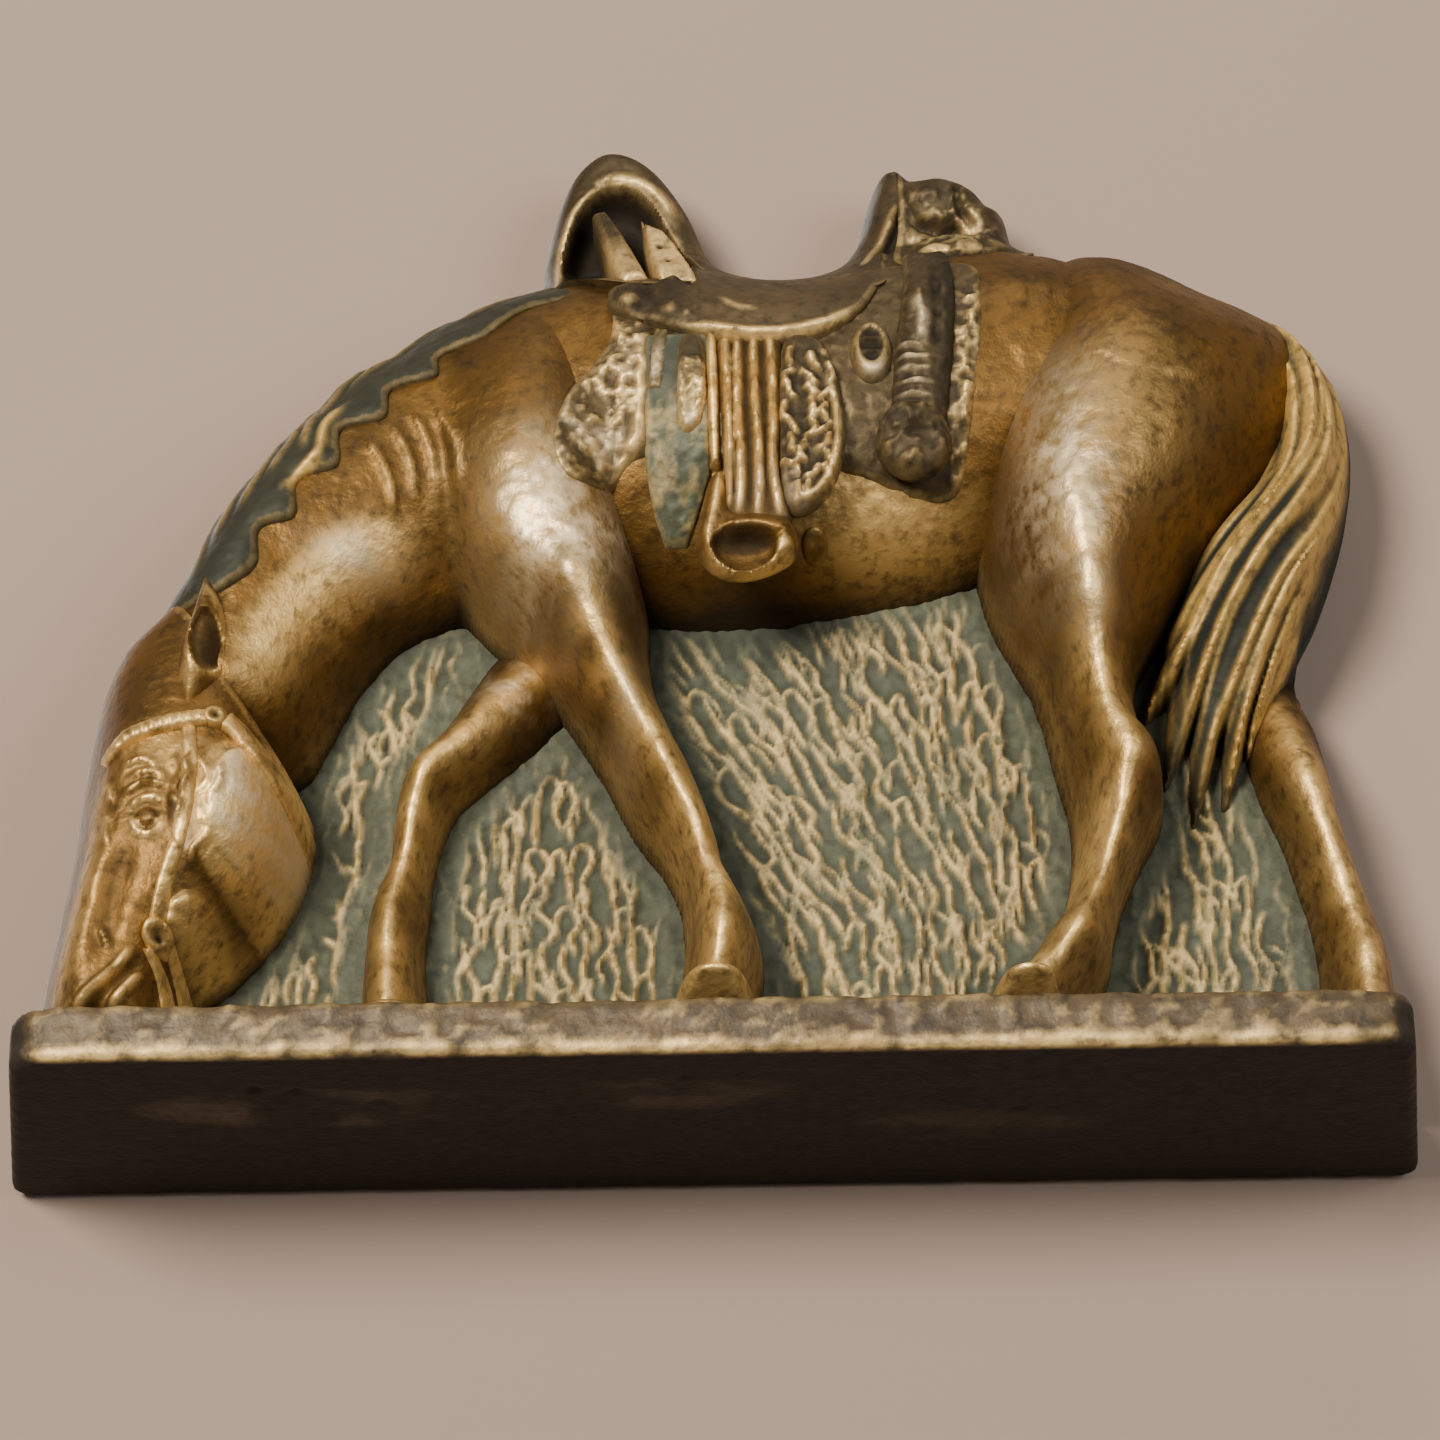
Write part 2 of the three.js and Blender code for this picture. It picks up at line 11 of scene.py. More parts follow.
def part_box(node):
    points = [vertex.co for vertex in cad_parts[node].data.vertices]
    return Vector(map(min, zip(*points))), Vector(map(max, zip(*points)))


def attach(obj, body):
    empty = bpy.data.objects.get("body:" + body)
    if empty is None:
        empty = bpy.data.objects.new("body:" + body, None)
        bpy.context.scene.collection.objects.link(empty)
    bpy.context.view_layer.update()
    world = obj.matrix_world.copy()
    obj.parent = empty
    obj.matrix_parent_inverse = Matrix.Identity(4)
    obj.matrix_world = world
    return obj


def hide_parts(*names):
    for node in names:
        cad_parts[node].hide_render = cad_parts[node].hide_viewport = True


mm = 0.001

print("frame")
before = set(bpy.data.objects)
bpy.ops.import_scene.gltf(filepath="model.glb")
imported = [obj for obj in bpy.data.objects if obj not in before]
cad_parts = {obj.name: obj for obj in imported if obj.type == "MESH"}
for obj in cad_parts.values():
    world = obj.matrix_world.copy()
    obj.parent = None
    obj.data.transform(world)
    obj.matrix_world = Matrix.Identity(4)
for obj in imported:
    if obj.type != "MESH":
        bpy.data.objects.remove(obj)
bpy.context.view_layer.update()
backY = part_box("backing_plate")[1].y / mm
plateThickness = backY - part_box("backing_plate")[0].y / mm
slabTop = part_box("base_slab")[1].z / mm


view = {
    "distance": 450, "upTilt": 24, "roll": -0.814, "aim": (1.2, 11.5, 49.4), "widthSeen": 155.2,
}


lights = {
    "keyLight": {"place": (-230, -560, 70), "target": (0, 0, 55), "size": 190, "watts": 9.2,
                 "colour": (1.0, 0.95, 0.88)},
    "fillLight": {"place": (330, -460, 20), "target": (0, 0, 50), "size": 320, "watts": 2.4,
                  "colour": (0.95, 0.97, 1.0)},
    "topLight": {"place": (60, -250, 520), "target": (0, 0, 60), "size": 300, "watts": 0.9,
                 "colour": (1.0, 0.97, 0.92)},
    "rearLight": {"place": (-200, 520, 300), "target": (0, 0, 55), "size": 400, "watts": 5.5,
                  "colour": (1.0, 0.98, 0.95)},
}


def placeCamera():
    tilt = math.radians(view["upTilt"])
    roll = math.radians(view["roll"])
    camera = bpy.data.objects.new("camera", bpy.data.cameras.new("camera"))
    bpy.context.scene.collection.objects.link(camera)
    aim = np.array(view["aim"])
    ahead = np.array([0, math.cos(tilt), math.sin(tilt)])
    camera.location = (aim - ahead * view["distance"]) * mm
    camera.rotation_mode = "XYZ"
    camera.rotation_euler = (math.radians(90) + tilt, 0, 0)
    camera.rotation_euler = (camera.rotation_euler.to_matrix() @ Matrix.Rotation(roll, 3, "Z")).to_euler()
    camera.data.angle = 2 * math.atan(view["widthSeen"] / 2 / view["distance"])
    camera.data.clip_start = 0.01
    bpy.context.scene.camera = camera


def areaLight(name, place, target, size, watts, colour):
    light = bpy.data.lights.new(name, "AREA")
    light.shape = "DISK"
    light.size = size * mm
    light.energy = watts
    light.color = colour
    lamp = bpy.data.objects.new(name, light)
    bpy.context.scene.collection.objects.link(lamp)
    lamp.location = Vector(place) * mm
    lamp.rotation_euler = (Vector(target) - Vector(place)).to_track_quat("-Z", "Y").to_euler()


def srgb(code):
    parts = [int(code[i:i + 2], 16) / 255 for i in (1, 3, 5)]
    return [p / 12.92 if p <= 0.04045 else ((p + 0.055) / 1.055) ** 2.4 for p in parts] + [1.0]


def addNode(tree, kind, settings=None, inputs=None):
    node = tree.nodes.new(kind)
    for key, value in (settings or {}).items():
        setattr(node, key, value)
    for key, value in (inputs or {}).items():
        if isinstance(value, bpy.types.NodeSocket):
            tree.links.new(value, node.inputs[key])
        else:
            node.inputs[key].default_value = value
    return node


def stageMaterial(name, colour):
    material = bpy.data.materials.new(name)
    material.use_nodes = True
    tree = material.node_tree
    tree.nodes.clear()
    geometry = addNode(tree, "ShaderNodeNewGeometry")
    paint = addNode(tree, "ShaderNodeBsdfDiffuse", inputs={"Color": srgb(colour), "Roughness": 0.9})
    clear = addNode(tree, "ShaderNodeBsdfTransparent")
    mixed = addNode(tree, "ShaderNodeMixShader", inputs={0: geometry.outputs["Backfacing"],
                                                         1: paint.outputs[0], 2: clear.outputs[0]})
    addNode(tree, "ShaderNodeOutputMaterial", inputs={"Surface": mixed.outputs[0]})
    return material


def stagePlane(name, size, place, turn, colour):
    bm = bmesh.new()
    bmesh.ops.create_grid(bm, x_segments=1, y_segments=1, size=size * mm)
    mesh = bpy.data.meshes.new(name)
    bm.to_mesh(mesh)
    bm.free()
    plane = bpy.data.objects.new(name, mesh)
    bpy.context.scene.collection.objects.link(plane)
    plane.rotation_euler = turn
    plane.location = [v * mm for v in place]
    plane.visible_shadow = False
    plane.data.materials.append(stageMaterial(name, colour))


print("camera, light, stage")
placeCamera()
for name, lamp in lights.items():
    areaLight(name, **lamp)
world = bpy.data.worlds.new("studio")
bpy.context.scene.world = world
world.use_nodes = True
world.node_tree.nodes["Background"].inputs["Color"].default_value = (0.62, 0.6, 0.58, 1)
world.node_tree.nodes["Background"].inputs["Strength"].default_value = 0.24
# The figure lies on its back in front of a pale ground, which can't be seen from behind or below.
stagePlane("paleGround", 2500, (0, backY + 0.5, 50), (math.radians(90), 0, 0), "#907e70")


def curveThrough(points, steps=6):
    p = np.array(points, float)
    padded = np.vstack([2 * p[:1] - p[1:2], p, 2 * p[-1:] - p[-2:-1]])
    t = np.linspace(0, 1, steps, endpoint=False)[:, None]
    runs = []
    for i in range(1, len(p)):
        a, b, c, d = padded[i - 1:i + 3]
        runs.append(b + (c - a) * t / 2 + (2 * a - 5 * b + 4 * c - d) * t ** 2 / 2
                    + (3 * b - 3 * c + d - a) * t ** 3 / 2)
    return np.vstack(runs + [p[-1:]])


def loopThrough(points, steps=6):
    p = [list(q) for q in points]
    line = curveThrough([p[-1]] + p + p[:2], steps)
    return line[steps:-steps - 1]


def runs(*parts, steps=6):
    lines = [curveThrough(part, steps) if len(part) > 2 else np.array(part, float) for part in parts]
    return np.vstack(lines)


def grain(x, z, size, seed):
    table = np.random.default_rng(seed).uniform(-1, 1, (128, 128))
    u, v = x / size + 640.0, z / size + 640.0
    i, j = np.floor(u).astype(int), np.floor(v).astype(int)
    a, b = u - i, v - j
    a, b = a * a * (3 - 2 * a), b * b * (3 - 2 * b)
    corner = lambda di, dj: table[(i + di) % 128, (j + dj) % 128]
    return (corner(0, 0) * (1 - a) + corner(1, 0) * a) * (1 - b) + (corner(0, 1) * (1 - a) + corner(1, 1)
            * a) * b


def rough(x, z, size, seed):
    return grain(x, z, size, seed) + 0.5 * grain(x, z, size / 2, seed + 1) + 0.25 * grain(x, z, size / 4,
            seed + 2)


def alongSegment(x, z, a, b):
    dx, dz = b[0] - a[0], b[1] - a[1]
    t = np.clip(((x - a[0]) * dx + (z - a[1]) * dz) / (dx * dx + dz * dz + 1e-9), 0, 1)
    return t, np.hypot(x - a[0] - t * dx, z - a[1] - t * dz)


# Height of a rounded ridge along a line of [x, z, half-width, crest height]; -1 away from it.
def ridge(x, z, line, flat=2.0, steps=4):
    samples = curveThrough(line, steps)
    best = np.full(x.shape, -1.0)
    for a, b in zip(samples[:-1], samples[1:]):
        reach = max(a[2], b[2])
        near = ((x > min(a[0], b[0]) - reach) & (x < max(a[0], b[0]) + reach)
                & (z > min(a[1], b[1]) - reach) & (z < max(a[1], b[1]) + reach))
        if not near.any():
            continue
        t, off = alongSegment(x[near], z[near], a, b)
        off = off / (a[2] + t * (b[2] - a[2]))
        height = (a[3] + t * (b[3] - a[3])) * np.sqrt(np.clip(1 - off ** flat, 0, 1))
        best[near] = np.maximum(best[near], np.where(off < 1, height, -1))
    return best


# A soft line of the given half-width: 1 on the line, fading to 0 beside it. The ends taper.
def stroke(x, z, points, width, steps=5, taper=True):
    samples = curveThrough(points, steps)
    total = len(samples) - 1
    best = np.zeros(x.shape)
    for i, (a, b) in enumerate(zip(samples[:-1], samples[1:])):
        reach = width * 2.4
        near = ((x > min(a[0], b[0]) - reach) & (x < max(a[0], b[0]) + reach)
                & (z > min(a[1], b[1]) - reach) & (z < max(a[1], b[1]) + reach))
        if not near.any():
            continue
        t, off = alongSegment(x[near], z[near], a, b)
        done = (i + t) / total
        fade = np.clip(np.minimum(done, 1 - done) * 5 + 0.25, 0, 1) if taper else 1.0
        best[near] = np.maximum(best[near], np.exp(-(off / width) ** 2) * fade)
    return best


def strokes(x, z, lines, width, steps=5):
    best = np.zeros(x.shape)
    for line in lines:
        best = np.maximum(best, stroke(x, z, line, width, steps))
    return best


def spot(x, z, cx, cz, rx, rz=None, soft=1.0):
    off = ((x - cx) / rx) ** 2 + ((z - cz) / (rz or rx)) ** 2
    return np.exp(-off * soft)


def dome(x, z, cx, cz, rx, rz, flat=2.0):
    off = np.sqrt(((x - cx) / rx) ** 2 + ((z - cz) / rz) ** 2)
    return np.sqrt(np.clip(1 - off ** flat, 0, 1))


def smoothMax(a, b, blend=2.0):
    near = np.clip(blend - np.abs(a - b), 0, None) / blend
    return np.maximum(a, b) + near * near * blend / 4


def inside(x, z, outline):
    found = np.zeros(x.shape, bool)
    ends = np.roll(outline, -1, axis=0)
    for (ax, az), (bx, bz) in zip(outline, ends):
        if az == bz:
            continue
        crosses = ((az > z) != (bz > z)) & (x < (bx - ax) * (z - az) / (bz - az) + ax)
        found ^= crosses
    return found


def nearestOn(x, z, outline):
    best = np.full(x.shape, 1e9)
    px, pz = x.copy(), z.copy()
    for a, b in zip(outline, np.roll(outline, -1, axis=0)):
        t, off = alongSegment(x, z, a, b)
        closer = off < best
        best[closer] = off[closer]
        px[closer] = (a[0] + t * (b[0] - a[0]))[closer]
        pz[closer] = (a[1] + t * (b[1] - a[1]))[closer]
    return best, px, pz


silhouette = runs(
    [[-71, slabTop + 0.1], [-70.2, 17], [-69, 25], [-67.8, 33], [-67.2, 41], [-66.2, 50], [-64, 55.4],
     [-60, 59.8],
     [-57.6, 63.9], [-55.2, 70.5], [-51.5, 77.2], [-46.8, 83.8], [-44, 86.5], [-42, 89.4], [-39.4, 91.5]],
    [[-36, 92.8], [-31, 97], [-26, 99.2], [-20.5, 101.2], [-17.7, 102.6]],
    [[-18.3, 106], [-17.2, 111.8], [-15.2, 117.2], [-12, 120.2], [-8.4, 120.3], [-4.6, 117.8], [-1.2, 112.6],
     [1, 107], [3.6, 104.2], [9, 103.3], [14, 104.4], [16.9, 108], [18.2, 112.4], [19.7, 116.8],
     [22.6, 117.8]],
    [[24.2, 116.1], [27.4, 116.3], [31.2, 114.8], [33.3, 112.2]],
    [[34.8, 111.4], [36, 107], [40, 106.3], [49, 104.5], [57.3, 100.2], [64.6, 96.2], [69.4, 91.5],
     [71.6, 85.9],
     [71.8, 78.7], [70.4, 71.4], [67.6, 63.8], [64.8, 58.2], [64, 53.3]],
    [[64.4, 50.6], [66.3, 46.2], [67.1, 38.6], [69.2, 29.6], [71.4, 22.4], [72.4, slabTop + 0.1]])

rounding = {"edgeHeight": 4.8, "topRise": 6.5, "sideRise": 9.5, "sideBelow": 62, "topAbove": 82, "blend": 3,
            "tuckReach": 9, "thinnest": 4.2}


# The relief rises from the outline as the square root of the way in, like a rounded rim. The top rim is
# gentler.
def roundedOff(x, z, height, tuck=0.0):
    inwards = nearestOn(x, z, silhouette)[0]
    upper = np.clip((z - rounding["sideBelow"]) / (rounding["topAbove"] - rounding["sideBelow"]), 0, 1)
    rise = rounding["sideRise"] + upper * (rounding["topRise"] - rounding["sideRise"])
    limit = rounding["edgeHeight"] + rise * np.sqrt(inwards) - tuck * np.clip(1.2 - inwards
            / rounding["tuckReach"], 0, 1)
    return np.maximum(-smoothMax(-height, -limit, rounding["blend"]), rounding["thinnest"])


# The sheet is a grid, cut to where `kept` says, with its rim pulled onto `rims`, raised to `heightOf`, and
# closed at the back: on a flat plane, or on a second surface given by `under`.
def reliefPiece(name, nodes, box, kept, heightOf, finish, paint=None, cell=0.35, rims=(silhouette,),
                rear=None, under=None):
    x0, z0, x1, z1 = box
    bm = bmesh.new()
    bmesh.ops.create_grid(bm, x_segments=max(int((x1 - x0) / cell), 2), y_segments=max(int((z1 - z0) / cell),
            2),
                          size=0.5)
    bmesh.ops.scale(bm, verts=bm.verts, vec=(x1 - x0, z1 - z0, 1))
    bmesh.ops.translate(bm, verts=bm.verts, vec=((x0 + x1) / 2, (z0 + z1) / 2, 0))
    centres = np.array([f.calc_center_median()[:2] for f in bm.faces])
    wanted = kept(centres[:, 0], centres[:, 1])
    bmesh.ops.delete(bm, geom=[f for f, keep in zip(bm.faces, wanted) if not keep], context="FACES")
    dropPinches(bm)
    keepLargest(bm)
    spots = np.array([v.co[:2] for v in bm.verts])
    x, z = spots[:, 0].copy(), spots[:, 1].copy()
    rimVerts = np.array([v.is_boundary for v in bm.verts])
    for outline in rims:
        away, px, pz = nearestOn(x[rimVerts], z[rimVerts], outline)
        pull = away < cell * 1.1
        index = np.flatnonzero(rimVerts)[pull]
        x[index], z[index] = px[pull], pz[pull]
    height = heightOf(x, z)
    for v, vx, vz, h in zip(bm.verts, x, z, height):
        v.co = (vx, backY - h, vz)
    if under is None:
        flat = rear if rear is not None else plateThickness - 0.1
        out = bmesh.ops.extrude_edge_only(bm, edges=[e for e in bm.edges if e.is_boundary])["geom"]
        for v in out:
            if isinstance(v, bmesh.types.BMVert):
                v.co.y = backY - flat
        bmesh.ops.triangle_fill(bm, use_beauty=False, edges=[e for e in bm.edges if e.is_boundary])
    else:
        sheet = list(bm.verts)
        lower = under(x, z)
        bmesh.ops.extrude_face_region(bm, geom=list(bm.faces), use_keep_orig=True)
        for v, low, high in zip(sheet, lower, height):
            v.co.y = backY - min(low, high - 0.15)
    bmesh.ops.recalc_face_normals(bm, faces=bm.faces)
    return finishMesh(name, nodes, bm, finish, paint)


def dropPinches(bm):
    for turn in range(4):
        bad = [v for v in bm.verts if sum(e.is_boundary for e in v.link_edges) > 2]
        if not bad:
            return
        bmesh.ops.delete(bm, geom=list({f for v in bad for f in v.link_faces}), context="FACES")


def keepLargest(bm):
    unseen = set(bm.faces)
    islands = []
    while unseen:
        stack = [unseen.pop()]
        island = []
        while stack:
            face = stack.pop()
            island.append(face)
            for edge in face.edges:
                for other in edge.link_faces:
                    if other in unseen:
                        unseen.discard(other)
                        stack.append(other)
        islands.append(island)
    islands.sort(key=len)
    for island in islands[:-1]:
        bmesh.ops.delete(bm, geom=island, context="FACES")


def finishMesh(name, nodes, bm, finish, paint):
    bmesh.ops.scale(bm, verts=bm.verts, vec=(mm, mm, mm))
    mesh = bpy.data.meshes.new(name)
    bm.to_mesh(mesh)
    bm.free()
    mesh.polygons.foreach_set("use_smooth", [True] * len(mesh.polygons))
    mesh.set_sharp_from_angle(angle=math.radians(70))
    paintMesh(mesh, paint)
    piece = bpy.data.objects.new(name, mesh)
    bpy.context.scene.collection.objects.link(piece)
    mesh.materials.append(finish)
    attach(piece, "root")
    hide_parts(*nodes)
    reliefMade.append(piece)
    return piece


reliefMade = []


def softened(grid, cells):
    for axis in (0, 1):
        for turn in range(2):
            padded = np.pad(grid, [(cells + 1, cells) if a == axis else (0, 0) for a in (0, 1)])
            total = np.cumsum(padded, axis=axis)
            low, high = [slice(None)] * 2, [slice(None)] * 2
            low[axis], high[axis] = slice(0, -2 * cells - 1), slice(2 * cells + 1, None)
            grid = (total[tuple(high)] - total[tuple(low)]) / (2 * cells + 1)
    return grid


# How sharply each point of a mesh sits in a hollow: above 0 in a groove, below 0 on a crest.
def hollowness(mesh):
    count = len(mesh.vertices)
    co, normal = np.zeros(count * 3), np.zeros(count * 3)
    mesh.vertices.foreach_get("co", co)
    mesh.vertex_normals.foreach_get("vector", normal)
    co, normal = co.reshape(-1, 3) / mm, normal.reshape(-1, 3)
    ends = np.zeros(len(mesh.edges) * 2, int)
    mesh.edges.foreach_get("vertices", ends)
    a, b = ends.reshape(-1, 2).T
    links = np.maximum(np.bincount(a, minlength=count) + np.bincount(b, minlength=count), 1)

    def around(values):
        return (np.bincount(a, values[b], count) + np.bincount(b, values[a], count)) / links
    lift = sum((around(co[:, k]) - co[:, k]) * normal[:, k] for k in range(3))
    for turn in range(3):
        lift = (lift + around(lift)) / 2
    return co, lift


shadeGrid = {"left": -76, "width": 152, "height": 128, "cell": 0.8, "spread": 4, "frontAbove": 6.5,
            "fullyDeep": 4.5}


# Hollows between and within the pieces are darkened with dirt and painted shade, and sharp crests are rubbed
# bright.
def wearAndShadeFromShape():
    step = shadeGrid["cell"]
    columns, rows = int(shadeGrid["width"] / step), int(shadeGrid["height"] / step)
    total, hits, placed = np.zeros((rows, columns)), np.zeros((rows, columns)), []
    for piece in reliefMade:
        co, lift = hollowness(piece.data)
        height = backY - co[:, 1]
        across, up = (co[:, 0] - shadeGrid["left"]) / step - 0.5, co[:, 2] / step - 0.5
        front = height > shadeGrid["frontAbove"]
        cells = (np.clip(up[front].round().astype(int), 0, rows - 1),
                 np.clip(across[front].round().astype(int), 0, columns - 1))
        np.add.at(total, cells, height[front])
        np.add.at(hits, cells, 1)
        placed.append((piece, across, up, height, lift))
    known = (hits > 0).astype(float)
    top = np.where(hits > 0, total / np.maximum(hits, 1), 0)
    wide = softened(top, shadeGrid["spread"]) / np.maximum(softened(known, shadeGrid["spread"]), 0.05)
    for piece, across, up, height, lift in placed:
        i, j = np.clip(up.astype(int), 0, rows - 2), np.clip(across.astype(int), 0, columns - 2)
        a, b = np.clip(up - i, 0, 1), np.clip(across - j, 0, 1)
        level = ((wide[i, j] * (1 - b) + wide[i, j + 1] * b) * (1 - a)
                 + (wide[i + 1, j] * (1 - b) + wide[i + 1, j + 1] * b) * a)
        layer = piece.data.attributes["wear"]
        wear = np.zeros(len(height) * 4)
        layer.data.foreach_get("color", wear)
        wear = wear.reshape(-1, 4)
        # Points sunk below their surroundings get painted shade as well as dirt, and their rubbed brightness
        # fades.
        deepShadeAndDirt = np.clip((level - height) / shadeGrid["fullyDeep"] - 0.15, 0, 1)
        wear[:, 1] += 0.6 * deepShadeAndDirt + 0.5 * np.clip(lift / 0.05 - 0.1, 0, 1)
        wear[:, 0] = (wear[:, 0] + 0.3 * np.clip(-lift / 0.05 - 0.2, 0, 1)) * (1 - 0.7 * deepShadeAndDirt)
        layer.data.foreach_set("color", np.clip(wear, 0, 1).ravel())


# Wear and painted light are set per point: red is rubbed bright, with painted highlight along the limbs;
# green darkens, with dirt in the hollows and painted shade; blue is silvery wear.
def paintMesh(mesh, paint):
    count = len(mesh.vertices)
    co = np.zeros(count * 3)
    mesh.vertices.foreach_get("co", co)
    co = co.reshape(-1, 3) / mm
    wear = np.zeros((count, 4))
    wear[:, 3] = 1
    if paint:
        for channel, values in enumerate(paint(co[:, 0], co[:, 2], backY - co[:, 1])):
            wear[:, channel] = np.clip(values, 0, 1)
    layer = mesh.attributes.new("wear", "FLOAT_COLOR", "POINT")
    layer.data.foreach_set("color", wear.ravel())


# Cast bronze under an old brown patina: rubbed bright on the high spots, with painted highlights, dark in the
# hollows, with painted shade, and silvery where handling has taken the patina off. The eye sees soft, broad
# highlights.
def castBronze(name, base, bright, dark, silver="#dcc49a", roughness=0.44, metallic=0.72, pit=0.5):
    material = bpy.data.materials.new(name)
    material.use_nodes = True
    tree = material.node_tree
    shader = tree.nodes["Principled BSDF"]
    place = addNode(tree, "ShaderNodeTexCoord").outputs["Object"]
    wear = addNode(tree, "ShaderNodeAttribute", {"attribute_name": "wear"})
    parts = addNode(tree, "ShaderNodeSeparateColor", inputs={"Color": wear.outputs["Color"]})
    cloud = addNode(tree, "ShaderNodeTexNoise", inputs={"Vector": place, "Scale": 1 / (9 * mm),
                                                        "Detail": 4.0})
    speck = addNode(tree, "ShaderNodeTexNoise", inputs={"Vector": place, "Scale": 1 / (1.6 * mm),
                                                        "Detail": 5.0,
                                                       "Roughness": 0.62})
    pitting = addNode(tree, "ShaderNodeTexNoise", inputs={"Vector": place, "Scale": 1 / (0.7 * mm),
                                                          "Detail": 3.0})
    mottled = addNode(tree, "ShaderNodeMapRange", inputs={"Value": cloud.outputs["Fac"], "From Min": 0.35,
                                                          "From Max": 0.68})
    grime = addNode(tree, "ShaderNodeMapRange", inputs={"Value": speck.outputs["Fac"], "From Min": 0.48,
                                                        "From Max": 0.72})
    patchy = addNode(tree, "ShaderNodeMapRange", inputs={"Value": speck.outputs["Fac"], "From Min": 0.3,
                                                         "From Max": 0.55})
    times, timesPlus = {"operation": "MULTIPLY"}, {"operation": "MULTIPLY_ADD"}
    clouded = addNode(tree, "ShaderNodeMath", times, {0: mottled.outputs[0], 1: 0.8})
    broken = addNode(tree, "ShaderNodeMath", times, {0: speck.outputs["Fac"], 1: -0.18})
    rubAndHighlight = addNode(tree, "ShaderNodeMath", timesPlus, {0: parts.outputs["Red"], 1: 1.15,
                                                         2: broken.outputs[0]})
    dusted = addNode(tree, "ShaderNodeMath", times, {0: grime.outputs[0], 1: 0.75})
    handled = addNode(tree, "ShaderNodeMath", times, {0: parts.outputs["Blue"], 1: patchy.outputs[0]})
    silvery = addNode(tree, "ShaderNodeMapRange", inputs={"Value": handled.outputs[0]})
    blotch = addNode(tree, "ShaderNodeMix", {"data_type": "RGBA"}, {0: 0.6, 6: srgb(base), 7: srgb(dark)})
    shade = srgb(base)
    # Red brightens the colour with rubbed wear and painted highlight; green darkens it with dirt and painted
    # shade.
    layers = ((clouded.outputs[0], blotch.outputs[2]), (rubAndHighlight.outputs[0], srgb(bright)),
              (dusted.outputs[0], srgb(dark)),
              (silvery.outputs[0], srgb(silver)), (parts.outputs["Green"], srgb(dark)))
    for amount, colour in layers:
        shade = addNode(tree, "ShaderNodeMix", {"data_type": "RGBA"},
                        {0: amount, 6: shade, 7: colour}).outputs[2]
    darkeningGloss = addNode(tree, "ShaderNodeMapRange", inputs={"Value": parts.outputs["Green"],
                                                            "To Min": roughness,
                                                            "To Max": roughness + 0.3})
    lowered = addNode(tree, "ShaderNodeMath", {"operation": "SUBTRACT"}, {0: darkeningGloss.outputs[0], 1: 0.1})
    gloss = addNode(tree, "ShaderNodeMath", timesPlus, {0: speck.outputs["Fac"], 1: 0.22,
                                                        2: lowered.outputs[0]})
    relief = addNode(tree, "ShaderNodeMath", {"operation": "MULTIPLY_ADD"},
                     {0: pitting.outputs["Fac"], 1: 0.5, 2: speck.outputs["Fac"]})
    bump = addNode(tree, "ShaderNodeBump", inputs={"Strength": pit, "Distance": 0.2 * mm,
                                                   "Height": relief.outputs[0]})
    tree.links.new(shade, shader.inputs["Base Color"])
    tree.links.new(gloss.outputs[0], shader.inputs["Roughness"])
    tree.links.new(bump.outputs[0], shader.inputs["Normal"])
    shader.inputs["Metallic"].default_value = metallic
    return material


print("finishes")
hideBronze = castBronze("rubbedBrownBronze", "#6d4e20", "#d6b06a", "#2c210f", roughness=0.48, metallic=0.82,
                        pit=0.75)
gearBronze = castBronze("oliveBrownBronze", "#534428", "#c4a468", "#211a0f", roughness=0.5, metallic=0.7)
maneBronze = castBronze("darkGreenBrownBronze", "#3d3b28", "#b8944e", "#1e2018", roughness=0.56, metallic=0.6)
groundBronze = castBronze("verdigrisBronze", "#4a4d37", "#a88f5a", "#2a2c20", roughness=0.66, metallic=0.25,
                          pit=0.6)
slabBronze = castBronze("blackBrownBronze", "#4a3b22", "#c6a668", "#1c150c", roughness=0.55, metallic=0.45,
                        pit=0.7)


